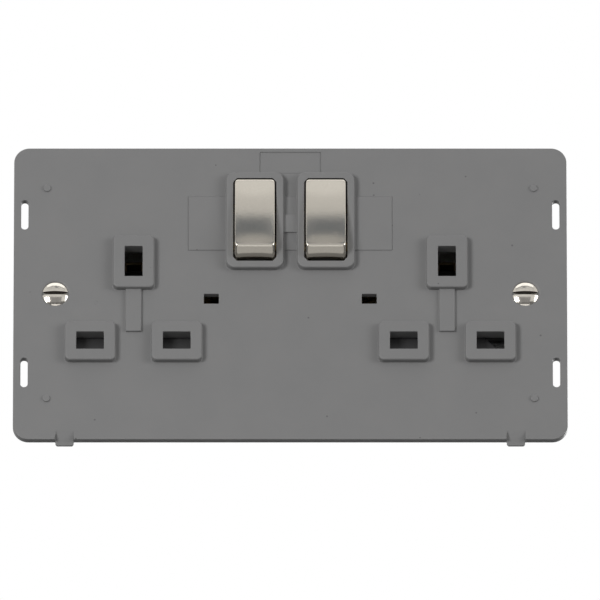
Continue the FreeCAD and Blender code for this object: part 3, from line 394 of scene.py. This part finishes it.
def past_ends(tree, place, middle, length):
    """How far a place lies past the ends of a length about its middle; it is below zero between them."""
    apart = reckon(tree, "ABSOLUTE", reckon(tree, "SUBTRACT", place, middle * MM))
    return reckon(tree, "SUBTRACT", apart, length / 2 * MM)


surround_rims, came, bend = start_shaping("surround_rims")
spot = add_node(surround_rims, "GeometryNodeInputPosition").outputs[0]
spot = add_node(surround_rims, "ShaderNodeSeparateXYZ", {0: spot}).outputs
sideways = reckon(surround_rims, "ABSOLUTE", spot["X"])
plain_share = EDGE_BREAK / RIM_ROUND
outside = FAR_OFF
for x, z, wide, high in SURROUNDS:
    past_side = past_ends(surround_rims, sideways, x, wide)
    past_top = past_ends(surround_rims, spot["Z"], z, high)
    past = reckon(surround_rims, "MAXIMUM", past_side, past_top)
    outside = reckon(surround_rims, "MINIMUM", outside, past)
rim = reckon(surround_rims, "GREATER_THAN", outside, -RIM_BAND)
front = reckon(surround_rims, "LESS_THAN", spot["Y"], SURROUND_FACE + FACE_BAND)
share = reckon(surround_rims, "MULTIPLY", rim, front)
share = reckon(surround_rims, "MULTIPLY", share, 1 - plain_share)
share = reckon(surround_rims, "ADD", share, plain_share)
bent = reckon(surround_rims, "GREATER_THAN", bend, RIM_ANGLE)
share = reckon(surround_rims, "MULTIPLY", share, bent)
weighed = add_node(surround_rims, "GeometryNodeStoreNamedAttribute",
                   {"Geometry": came, "Name": "bevel_weight_edge", "Value": share},
                   data_type="FLOAT", domain="EDGE")
add_node(surround_rims, "NodeGroupOutput", {0: weighed.outputs[0]})

grey_urea = moulded_finish(
    "grey_urea", tone=(0.178, 0.178, 0.178, 1), cloud_tone=(0.188, 0.187, 0.186, 1),
    mark_tone=(0.10, 0.10, 0.10, 1), roughness=0.52, grain_depth=0.010 * MM)
dress_nodes(["front_plate"], grey_urea)
break_edges(["front_plate"], width=RIM_ROUND, weighing=surround_rims)


# Witness rings on the moulding: one left of the earth hole where a pin of the tool met the face, and a row
# on the back where the ejector pins pushed the plate out while it was hot.
RING_RISE = 0.05 * MM
RING_SIDES = 40
# Shares of a ring's radius and of its rise, point by point. Its two feet are sunk into the face.
RING_PROFILE = ((0.86, -1), (0.93, 1), (1.0, 1), (1.07, -1))
FACE_RING_PLACE = (-49.7 * MM, -2.7 * MM)
FACE_RING_RADIUS = 0.55 * MM
EJECTOR_RADIUS = 1.9 * MM
EJECTOR_SPOTS = ((-64, 24), (64, 24), (-64, -24), (64, -24), (-30, -33), (30, -33), (0, -33),
                 (-56, 37), (56, 37))


def lathe(bm, profile, x, z, sides):
    """Turns a profile of radius and depth round an axis along Y at x, z. A radius of 0 closes it."""
    rings = []
    for radius, depth in profile:
        if radius == 0:
            rings.append([bm.verts.new((x, depth, z))])
        else:
            rings.append([bm.verts.new((x + radius * math.cos(turn), depth, z + radius * math.sin(turn)))
                          for turn in (2 * math.pi * i / sides for i in range(sides))])
    for near, far in zip(rings, rings[1:]):
        for i in range(sides):
            j = (i + 1) % sides
            if len(near) == 1:
                bm.faces.new((near[0], far[i], far[j]))
            elif len(far) == 1:
                bm.faces.new((near[i], near[j], far[0]))
            else:
                bm.faces.new((near[i], near[j], far[j], far[i]))


def add_ring(bm, x, z, radius, face, rise):
    """A low ring with sloped sides that stands on a face."""
    lathe(bm, [(radius * share, face + rise * up) for share, up in RING_PROFILE], x, z, RING_SIDES)


bm = bmesh.new()
add_ring(bm, *FACE_RING_PLACE, FACE_RING_RADIUS, PLATE_FACE, -RING_RISE)
for x, z in EJECTOR_SPOTS:
    add_ring(bm, x * MM, z * MM, EJECTOR_RADIUS, 0.0, RING_RISE)
rings = new_piece("witness_rings", bm)
rings.data.materials.append(grey_urea)
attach(rings, "base")


# The two rockers: black moulded levers on stub axles, dropped into the bearings from behind. Each carries
# its cap in front and a hub behind, bored for the two plungers.
SIDES = ("left", "right")
rockers = [f"rocker_{side}" for side in SIDES]
rocker_black = moulded_finish(
    "rocker_black", tone=(0.018, 0.018, 0.019, 1), cloud_tone=(0.022, 0.022, 0.022, 1),
    mark_tone=(0.03, 0.03, 0.03, 1), roughness=0.30, grain_depth=0.006 * MM)
dress_nodes(rockers, rocker_black)
break_edges(rockers, width=0.15 * MM)


# The caps over the rockers: pressed from steel sheet 0.3 mm thick, with a satin nickel skin. The face is
# dished both ways between two ridges, and the ends turn back on the swing of the rocker and curl in at the
# foot.
CAP_REACH = 12.9 * MM
CAP_FACE = 8.05 * MM
CAP_DISH = 0.35 * MM
CAP_CUP = {"left": 0.10 * MM, "right": 0.085 * MM}
CUP_FULLNESS = 4
CAP_EDGE = 3.6 * MM
CAP_TILT = math.radians(8.85)
CAP_SHEET = 0.3 * MM
CAP_CORNER = 0.8 * MM
CAP_SIDE_BREAK = 0.06 * MM
CAP_FLARE = 0.2 * MM
NOSE_CURL = 0.5 * MM
CURL_AT_SIDES = 0.7
CURL_MORE_MIDWAY = 0.4
NOSE_CURL_SPAN = math.radians(18.3)
RIDGE_ROUND = 0.80 * MM
NOSE_STEPS = 14
RIDGE_STEPS = 6
DISH_STEPS = 30
ROUND_STEPS = 7
WIDTH_STEPS = 14

joints = {joint["name"]: joint for joint in frame["record"]["behaviour"]["joints"]}
ridge_level = math.sqrt(CAP_REACH ** 2 - CAP_FACE ** 2)
dish_radius = (ridge_level ** 2 + CAP_DISH ** 2) / (2 * CAP_DISH)
dish_offset = CAP_FACE + math.sqrt(dish_radius ** 2 - ridge_level ** 2)
dish_points = range(NOSE_STEPS + RIDGE_STEPS, NOSE_STEPS + RIDGE_STEPS + DISH_STEPS + 1)


def arc(centre, radius, start, end, steps):
    """Points of depth and level along an arc, from one angle to another about its centre."""
    return [(centre[0] + radius * math.cos(start + (end - start) * i / steps),
             centre[1] + radius * math.sin(start + (end - start) * i / steps)) for i in range(steps + 1)]


def cap_profile(corner_inset, side_inset, curl):
    """The cap's side view about its pivot: upper nose, ridge, dished face, ridge and lower nose."""
    nose = CAP_REACH - corner_inset
    dish = dish_radius + side_inset
    ridge_reach = nose - RIDGE_ROUND
    middle_depth = ((dish + RIDGE_ROUND) ** 2 - ridge_reach ** 2 - dish_offset ** 2) / (2 * dish_offset)
    middle_level = math.sqrt(ridge_reach ** 2 - middle_depth ** 2)
    foot = math.atan2(math.sqrt(nose ** 2 - CAP_EDGE ** 2), -CAP_EDGE)
    nose_end = math.atan2(middle_level, middle_depth)
    dish_end = math.atan2(middle_level, middle_depth + dish_offset)
    upper = []
    for i in range(NOSE_STEPS + 1):
        turn = foot + (nose_end - foot) * i / NOSE_STEPS
        reach = nose - curl * ((nose_end - turn) / NOSE_CURL_SPAN) ** 2
        upper.append((reach * math.cos(turn), reach * math.sin(turn)))
    upper += arc((middle_depth, middle_level), RIDGE_ROUND, nose_end, dish_end + math.pi, RIDGE_STEPS)[1:]
    face = arc((-dish_offset, 0), dish, dish_end, -dish_end, DISH_STEPS)
    lower = [(depth, -level) for depth, level in reversed(upper)]
    return upper[:-1] + face + lower[1:]


def rounded_inset(across, half, radius):
    """How far a corner of this radius draws in at this place across the piece."""
    past = max(0.0, abs(across) - (half - radius))
    return radius - math.sqrt(max(0.0, radius ** 2 - past ** 2))


def join_rows(bm, rows, closed):
    """Covers rows of points with faces from row to row, and the first and last row with a face each."""
    count = len(rows[0])
    for near, far in zip(rows, rows[1:]):
        for i in range(count if closed else count - 1):
            j = (i + 1) % count
            bm.faces.new((near[i], near[j], far[j], far[i]))
    bm.faces.new(rows[0])
    bm.faces.new(rows[-1])


def make_cap(side):
    """The cap in the place of its CAD solid, drawn row by row across its width."""
    low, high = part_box(f"rocker_cap_{side}")
    half, middle = (high.x - low.x) / 2, (high.x + low.x) / 2
    pivot = Vector(joints[f"rocker_{side}_tilt"]["pos_m"])
    inner = half - CAP_CORNER
    edge = [inner + CAP_CORNER * math.sin(math.pi / 2 * i / ROUND_STEPS) for i in range(1, ROUND_STEPS + 1)]
    places = [-across for across in reversed(edge)]
    places += [-inner + 2 * inner * i / WIDTH_STEPS for i in range(WIDTH_STEPS + 1)] + edge
    bm = bmesh.new()
    rows = []
    for across in places:
        row = []
        crown = 1 - (across / half) ** 2
        corner_inset = rounded_inset(across, half, CAP_CORNER)
        side_inset = rounded_inset(across, half, CAP_SIDE_BREAK)
        curl = NOSE_CURL * (CURL_AT_SIDES + CURL_MORE_MIDWAY * crown)
        for i, (depth, level) in enumerate(cap_profile(corner_inset, side_inset, curl)):
            if i in dish_points:
                depth += CAP_CUP[side] * crown * max(0.0, 1 - (level / ridge_level) ** CUP_FULLNESS)
            flare = CAP_FLARE * max(0.0, 1 + depth / CAP_FACE)
            row.append(bm.verts.new((middle + across * (1 + flare / half),
                                     pivot.y + depth * math.cos(CAP_TILT) + level * math.sin(CAP_TILT),
                                     pivot.z - depth * math.sin(CAP_TILT) + level * math.cos(CAP_TILT))))
        rows.append(row)
    join_rows(bm, rows, closed=False)
    cap = new_piece(f"switch_cap_{side}", bm)
    sheet = cap.modifiers.new("sheet", "SOLIDIFY")
    sheet.thickness = CAP_SHEET
    sheet.offset = -1
    smooth(cap)
    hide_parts(f"rocker_cap_{side}")
    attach(cap, f"rocker_{side}")
    return cap


satin_nickel, tree, shader = start_finish("satin_nickel", roughness=0.10, metallic=1.0)
skin = add_effect(tree, moulded_skin, Grain=3200.0, Cloud=140.0)
marks = add_effect(tree, stray_marks, Specks=900.0, Speck_Size=0.10, Rubs=900.0)
colour = mix_tones(tree, skin["Height"], (0.525, 0.490, 0.428, 1), (0.615, 0.577, 0.509, 1))
colour = mix_tones(tree, marks["Speck"], colour, (0.66, 0.63, 0.57, 1))
tree.links.new(colour, shader.inputs["Base Color"])
tree.links.new(vary(tree, marks["Rub"], low=0.10, high=0.17), shader.inputs["Roughness"])
raise_skin(tree, shader, skin["Height"], depth=0.004 * MM)
for side in SIDES:
    make_cap(side).data.materials.append(satin_nickel)


# The plungers: cream nylon pins that slide in the rockers' hubs and press the rocking contacts, one for
# each pole of the switch.
POLES = ("neutral", "live")
plungers = [f"plunger_{side}_{pole}" for side in SIDES for pole in POLES]
cream_nylon = moulded_finish(
    "cream_nylon", tone=(0.72, 0.69, 0.60, 1), cloud_tone=(0.75, 0.72, 0.64, 1),
    mark_tone=(0.45, 0.42, 0.36, 1), roughness=0.38, grain_depth=0.003 * MM)
dress_nodes(plungers, cream_nylon)
break_edges(plungers, width=0.08 * MM)


# The springs: coils of hard round wire with closed ends, one behind each plunger and one under each
# shutter, dropped in loose and held by their own push.
WIRE_RADIUS = 0.2 * MM
WIRE_SIDES = 8
COIL_STEPS = 24
CLOSED_TURNS = 1.0
SHUTTER_COIL = 0.8 * MM
SHUTTER_TURNS = 9
SHUTTER_PLAY = 0.1 * MM
PLUNGER_COIL = 0.95 * MM
PLUNGER_TURNS = 6

drawn_steel, tree, shader = start_finish("drawn_steel", roughness=0.28, metallic=1.0)
skin = add_effect(tree, moulded_skin, Grain=1800.0, Cloud=500.0)
tree.links.new(mix_tones(tree, skin["Cloudiness"], (0.50, 0.50, 0.52, 1), (0.40, 0.40, 0.42, 1)),
               shader.inputs["Base Color"])
raise_skin(tree, shader, skin["Height"], depth=0.002 * MM)


def wind_spring(name, node, turns, start, along, coil_radius, long):
    """A coil of round wire from a point along a direction; the first and last turns lie close."""
    bm = bmesh.new()
    count = int(turns * COIL_STEPS)
    turn_axis = along.to_track_quat("Z", "Y").to_matrix()
    free_turns = turns - 2 * CLOSED_TURNS
    wire = 2 * WIRE_RADIUS
    rise = long - wire - 2 * wire * CLOSED_TURNS
    rows = []
    for i in range(count + 1):
        turn = turns * i / count
        closed = min(turn, CLOSED_TURNS) + max(0.0, turn - (turns - CLOSED_TURNS))
        free = min(max(turn - CLOSED_TURNS, 0.0), free_turns) / free_turns
        height = WIRE_RADIUS + wire * closed + rise * free
        angle = 2 * math.pi * turn
        outward = Vector((math.cos(angle), math.sin(angle), 0))
        centre = outward * coil_radius + Vector((0, 0, height))
        row = []
        for k in range(WIRE_SIDES):
            around = 2 * math.pi * k / WIRE_SIDES
            spot = centre + outward * (WIRE_RADIUS * math.cos(around))
            spot += Vector((0, 0, WIRE_RADIUS * math.sin(around)))
            row.append(bm.verts.new(start + turn_axis @ spot))
        rows.append(row)
    join_rows(bm, rows, closed=True)
    spring = new_piece(name, bm)
    spring.data.materials.append(drawn_steel)
    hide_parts(node)
    return spring


for side in SIDES:
    glide = joints[f"shutter_{side}_slide"]
    low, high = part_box(f"shutter_spring_{side}")
    foot = glide["deforming_nodes"][0]["fixed_end_z_m"]
    seat = Vector(((low.x + high.x) / 2, (low.y + high.y) / 2, foot))
    long = high.z - seat.z - SHUTTER_PLAY
    spring = wind_spring(f"shutter_coil_{side}", f"shutter_spring_{side}", SHUTTER_TURNS, seat,
                         Vector((0, 0, 1)), SHUTTER_COIL, long)
    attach(spring, "base")
    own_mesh(spring)
    for pole in POLES:
        glide = joints[f"plunger_{side}_{pole}_slide"]
        along = Vector(glide["axis"])
        low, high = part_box(f"plunger_spring_{side}_{pole}")
        long = (high.y - low.y - 2 * (PLUNGER_COIL + WIRE_RADIUS) * abs(along.z)) / abs(along.y)
        seat = (low + high) / 2 + along * long / 2
        spring = wind_spring(f"plunger_coil_{side}_{pole}", f"plunger_spring_{side}_{pole}", PLUNGER_TURNS,
                             seat, -along, PLUNGER_COIL, long)
        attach(spring, f"rocker_{side}")
        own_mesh(spring)


# The rocking contacts: copper arms that tip over the knife edges of the two busbars, each with a silver
# pad brazed to its upper end. Its fellow pad is brazed to the strip behind it.
EDGE_WEAR = 0.12 * MM
TARNISH_DULLS = 0.15

rolled_metal, controls, results = start_effect(
    "rolled_metal", {"Lines": 1500.0, "Tarnish": 160.0}, ("Line", "Tarnish"))
place = add_node(rolled_metal, "ShaderNodeTexCoord").outputs["Object"]
drawn = add_node(rolled_metal, "ShaderNodeMapping", {"Vector": place, "Scale": (1.0, 1.0, 0.03)})
lines = add_node(rolled_metal, "ShaderNodeTexNoise",
                 {"Vector": drawn.outputs[0], "Scale": controls["Lines"], "Detail": 3.0})
rolled_metal.links.new(lines.outputs["Fac"], results["Line"])
stain = add_node(rolled_metal, "ShaderNodeTexNoise",
                 {"Vector": place, "Scale": controls["Tarnish"], "Detail": 4.0, "Roughness": 0.6})
rolled_metal.links.new(step_up(rolled_metal, stain.outputs["Fac"], low=0.45, high=0.75), results["Tarnish"])


def metal_finish(name, tone, stain_tone, bright_tone, roughness, relief):
    """Rolled or turned metal: fine lines, clouds of tarnish, and edges rubbed bright."""
    material, tree, shader = start_finish(name, roughness, metallic=1.0)
    rolled = add_effect(tree, rolled_metal)
    edge = add_effect(tree, bare_edge, Reach=EDGE_WEAR)["Edge"]
    colour = mix_tones(tree, rolled["Tarnish"], tone, stain_tone)
    tree.links.new(mix_tones(tree, edge, colour, bright_tone), shader.inputs["Base Color"])
    dulled = vary(tree, rolled["Tarnish"], roughness, roughness + TARNISH_DULLS)
    tree.links.new(dulled, shader.inputs["Roughness"])
    raise_skin(tree, shader, rolled["Line"], depth=relief)
    return material


copper = metal_finish(
    "copper", tone=(0.72, 0.40, 0.27, 1), stain_tone=(0.48, 0.25, 0.17, 1),
    bright_tone=(0.83, 0.52, 0.38, 1), roughness=0.30, relief=0.002 * MM)
silver = metal_finish(
    "silver", tone=(0.80, 0.79, 0.76, 1), stain_tone=(0.58, 0.56, 0.50, 1),
    bright_tone=(0.88, 0.87, 0.85, 1), roughness=0.24, relief=0.001 * MM)
arms = [f"contact_arm_{side}_{pole}" for side in SIDES for pole in POLES]
pads = [f"{kind}_tip_{side}_{pole}" for kind in ("moving", "fixed") for side in SIDES for pole in POLES]
dress_nodes(arms, copper)
dress_nodes(pads, silver)
break_edges(arms + pads, width=0.08 * MM)


# The strips and busbars behind the plate, stamped from hard brass sheet and dropped on to the ribs of the
# rear housing, and the earth sleeves, whose brass is painted dark as shade inside the earth holes.
brass_sheet = metal_finish(
    "brass_sheet", tone=(0.76, 0.57, 0.27, 1), stain_tone=(0.55, 0.38, 0.17, 1),
    bright_tone=(0.86, 0.69, 0.40, 1), roughness=0.27, relief=0.002 * MM)
# Painted shade: a very dark brass for the earth sleeves, so that no light shows on them inside the earth
# holes.
shade_darkened_brass = metal_finish(
    "shade_darkened_brass", tone=(0.20, 0.15, 0.085, 1), stain_tone=(0.12, 0.09, 0.055, 1),
    bright_tone=(0.26, 0.20, 0.12, 1), roughness=0.50, relief=0.002 * MM)
strips = ["live_busbar", "neutral_busbar", "earth_strap"]
strips += [f"outlet_contact_{side}_{pole}" for side in SIDES for pole in POLES]
sleeves = [f"earth_socket_{side}" for side in SIDES]
dress_nodes(strips, brass_sheet)
dress_nodes(sleeves, shade_darkened_brass)
break_edges(strips + sleeves, width=0.06 * MM)


# The terminals: blocks sawn from brass bar and drilled for the wires. They stand side by side at the foot
# of the rear housing, parted by its ribs.
TERMINALS = ("earth", "neutral", "live", "earth_spare")
blocks = [f"terminal_{name}" for name in TERMINALS]
brass_bar = metal_finish(
    "brass_bar", tone=(0.70, 0.53, 0.26, 1), stain_tone=(0.50, 0.35, 0.16, 1),
    bright_tone=(0.84, 0.68, 0.40, 1), roughness=0.34, relief=0.004 * MM)
dress_nodes(blocks, brass_bar)
break_edges(blocks, width=0.10 * MM)


# The screws that clamp the wires and those that hold the housing on: zinc-plated steel with rolled threads
# and a straight slot, driven from behind.
SCREW_SIDES = 40
THREAD_STEPS = 6
# Shares of a thread's radius: at its root, and at its crest on the very point.
THREAD_ROOT = 0.8
POINT_SHARE = 0.8
HEAD_HIGH = 1.4 * MM
HEAD_ROUND = 0.3 * MM
SHOULDER_STEPS = 5
SLOT_WIDE = 0.8 * MM
SLOT_DEEP = 0.8 * MM
# The saw's height over the slot's depth, and its length over the head's radius.
SAW_HIGH = 2
SAW_LONG = 3
# Radius and pitch of the threads.
CLAMP_THREAD = (1.75 * MM, 0.7 * MM)
HOLDING_THREAD = (1.3 * MM, 1.0 * MM)


def roll_thread(bm, x, z, start, end, radius, pitch, root):
    """A shank along Y whose surface rises and falls in one helical thread, closed at both ends."""
    steps = int(abs(end - start) / pitch * THREAD_STEPS)
    rows = []
    for i in range(steps + 1):
        depth = start + (end - start) * i / steps
        fade = min(1.0, (steps - i) / THREAD_STEPS)
        crest = radius * (POINT_SHARE + (1 - POINT_SHARE) * fade)
        row = []
        for k in range(SCREW_SIDES):
            turn = k / SCREW_SIDES
            wave = abs(2 * ((depth / pitch - turn) % 1.0) - 1)
            reach = root + (crest - root) * wave
            row.append(bm.verts.new((x + reach * math.cos(2 * math.pi * turn), depth,
                                     z + reach * math.sin(2 * math.pi * turn))))
        rows.append(row)
    join_rows(bm, rows, closed=True)


def cut_slot(head, x, z, wide, top, bottom, radius):
    """Saws a straight slot across a screw head, level with the ground, from its top down to bottom."""
    bm = bmesh.new()
    bmesh.ops.create_cube(bm, size=1.0)
    past = (top - bottom) * SAW_HIGH
    shape = Matrix.Diagonal((radius * SAW_LONG, abs(past), wide, 1))
    bmesh.ops.transform(bm, verts=bm.verts, matrix=Matrix.Translation((x, bottom + past / 2, z)) @ shape)
    saw = new_piece("saw", bm)
    cut = head.modifiers.new("slot", "BOOLEAN")
    cut.operation = "DIFFERENCE"
    cut.object = saw
    cut.solver = "EXACT"
    bpy.context.view_layer.update()
    slotted = bpy.data.meshes.new_from_object(head.evaluated_get(bpy.context.evaluated_depsgraph_get()))
    head.modifiers.remove(cut)
    head.data = slotted
    bpy.data.objects.remove(saw)


def finish_screw(head, shank, name, node, material):
    """Joins a slotted head and its shank to one piece that stands for the CAD screw."""
    bm = bmesh.new()
    bm.from_mesh(head.data)
    bm.from_mesh(shank.data)
    for part in (head, shank):
        bpy.data.objects.remove(part)
    screw = new_piece(name, bm)
    smooth(screw)
    screw.data.materials.append(material)
    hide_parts(node)
    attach(screw, "base")


def drive_from_behind(node, thread, material):
    """A pan-headed screw in the place of its CAD solid, with its head towards the wall."""
    low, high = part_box(node)
    x, z = (low.x + high.x) / 2, (low.z + high.z) / 2
    radius = (high.x - low.x) / 2
    under = high.y - HEAD_HIGH
    turns = [math.pi / 2 * i / SHOULDER_STEPS for i in range(SHOULDER_STEPS + 1)]
    shoulder = [(radius - HEAD_ROUND * (1 - math.cos(turn)), high.y - HEAD_ROUND * (1 - math.sin(turn)))
                for turn in turns]
    bm = bmesh.new()
    lathe(bm, [(0, under), (radius, under)] + shoulder + [(0, high.y)], x, z, SCREW_SIDES)
    head = new_piece("head", bm)
    cut_slot(head, x, z, SLOT_WIDE, high.y, high.y - SLOT_DEEP, radius)
    bm = bmesh.new()
    roll_thread(bm, x, z, under, low.y, *thread, root=thread[0] * THREAD_ROOT)
    finish_screw(head, new_piece("shank", bm), f"{node}_threaded", node, material)


zinc_plate = metal_finish(
    "zinc_plate", tone=(0.62, 0.61, 0.57, 1), stain_tone=(0.50, 0.49, 0.44, 1),
    bright_tone=(0.74, 0.73, 0.70, 1), roughness=0.32, relief=0.001 * MM)
for name in TERMINALS:
    drive_from_behind(f"terminal_screw_{name}", CLAMP_THREAD, zinc_plate)
for side in SIDES:
    drive_from_behind(f"assembly_screw_{side}", HOLDING_THREAD, zinc_plate)


# The shutters: black slides behind the pin holes, moulded with the ramp that the earth pin drives down.
# They run loose between rails of the front moulding, each on its spring.
shutters = [f"shutter_{side}" for side in SIDES]
shutter_black = moulded_finish(
    "shutter_black", tone=(0.020, 0.020, 0.021, 1), cloud_tone=(0.026, 0.026, 0.026, 1),
    mark_tone=(0.035, 0.035, 0.035, 1), roughness=0.45, grain_depth=0.006 * MM)
dress_nodes(shutters, shutter_black)
break_edges(shutters, width=0.15 * MM)


# The rear housing: a white urea tray screwed to the back of the plate, with round wells over the clamp
# screws and one long notch below, open towards the plate, for the wires.
white_urea = moulded_finish(
    "white_urea", tone=(0.76, 0.75, 0.71, 1), cloud_tone=(0.79, 0.78, 0.745, 1),
    mark_tone=(0.58, 0.56, 0.52, 1), roughness=0.46, grain_depth=0.010 * MM)
dress_nodes(["back_housing"], white_urea)
break_edges(["back_housing"], width=0.25 * MM)


# The fixing screws: raised countersunk, bright nickel plate on brass, slotted, M3.5, with painted shade in
# the slot and round the head. They drop into the countersunk holes left and right, and their threads hold
# the fitting to the wall box.
FIXING_DOME = 0.75 * MM
FIXING_SINK = 0.3 * MM
FIXING_FULLNESS = 2.5
FIXING_LAND = 0.08 * MM
FIXING_NECK = 1.5 * MM
FIXING_LAP = 0.1 * MM
FIXING_SLOT_WIDE = 0.95 * MM
FIXING_SLOT_DEEP = 1.1 * MM
FIXING_THREAD = (1.75 * MM, 0.6 * MM)
FIXING_SIDES = 72
DOME_STEPS = 12
SHADE_PAINT_REACH = 1.2 * MM

bright_nickel, tree, shader = start_finish("bright_nickel", roughness=0.13, metallic=1.0)
rolled = add_effect(tree, rolled_metal, Lines=900.0, Tarnish=700.0)
marks = add_effect(tree, stray_marks, Specks=1200.0, Speck_Size=0.12, Rubs=1500.0)
colour = mix_tones(tree, rolled["Tarnish"], (0.56, 0.53, 0.475, 1), (0.46, 0.43, 0.385, 1))
colour = mix_tones(tree, marks["Speck"], colour, (0.25, 0.24, 0.22, 1))
# Painted shade: the colour darkens where little open air reaches, in the slot and round the rim of the
# head.
open_air = add_node(tree, "ShaderNodeAmbientOcclusion", {"Distance": SHADE_PAINT_REACH}, samples=8).outputs["AO"]
painted_shade = step_up(tree, open_air, low=0.80, high=0.50)
colour = mix_tones(tree, painted_shade, colour, (0.18, 0.17, 0.155, 1))
tree.links.new(colour, shader.inputs["Base Color"])
tree.links.new(vary(tree, marks["Rub"], low=0.13, high=0.24), shader.inputs["Roughness"])
raise_skin(tree, shader, rolled["Line"], depth=0.004 * MM)

for side in SIDES:
    low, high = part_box(f"fixing_screw_{side}")
    x, z = (low.x + high.x) / 2, (low.z + high.z) / 2
    radius = (high.x - low.x) / 2
    rim = PLATE_FACE + FIXING_SINK
    top = rim - FIXING_DOME
    shares = [math.sin(math.pi / 2 * i / DOME_STEPS) for i in range(DOME_STEPS)]
    dome = [(radius * share, rim - FIXING_DOME * (1 - share ** FIXING_FULLNESS)) for share in shares]
    cone = [(radius, rim), (radius, rim + FIXING_LAND), (FIXING_NECK, rim + radius - FIXING_NECK)]
    bm = bmesh.new()
    lathe(bm, dome + cone + [(FIXING_NECK, 0.0), (0, 0.0)], x, z, FIXING_SIDES)
    head = new_piece("head", bm)
    cut_slot(head, x, z, FIXING_SLOT_WIDE, top, top + FIXING_SLOT_DEEP, radius)
    bm = bmesh.new()
    roll_thread(bm, x, z, -FIXING_LAP, high.y, *FIXING_THREAD, root=FIXING_NECK)
    finish_screw(head, new_piece("shank", bm), f"fixing_screw_{side}_threaded", f"fixing_screw_{side}",
                 bright_nickel)
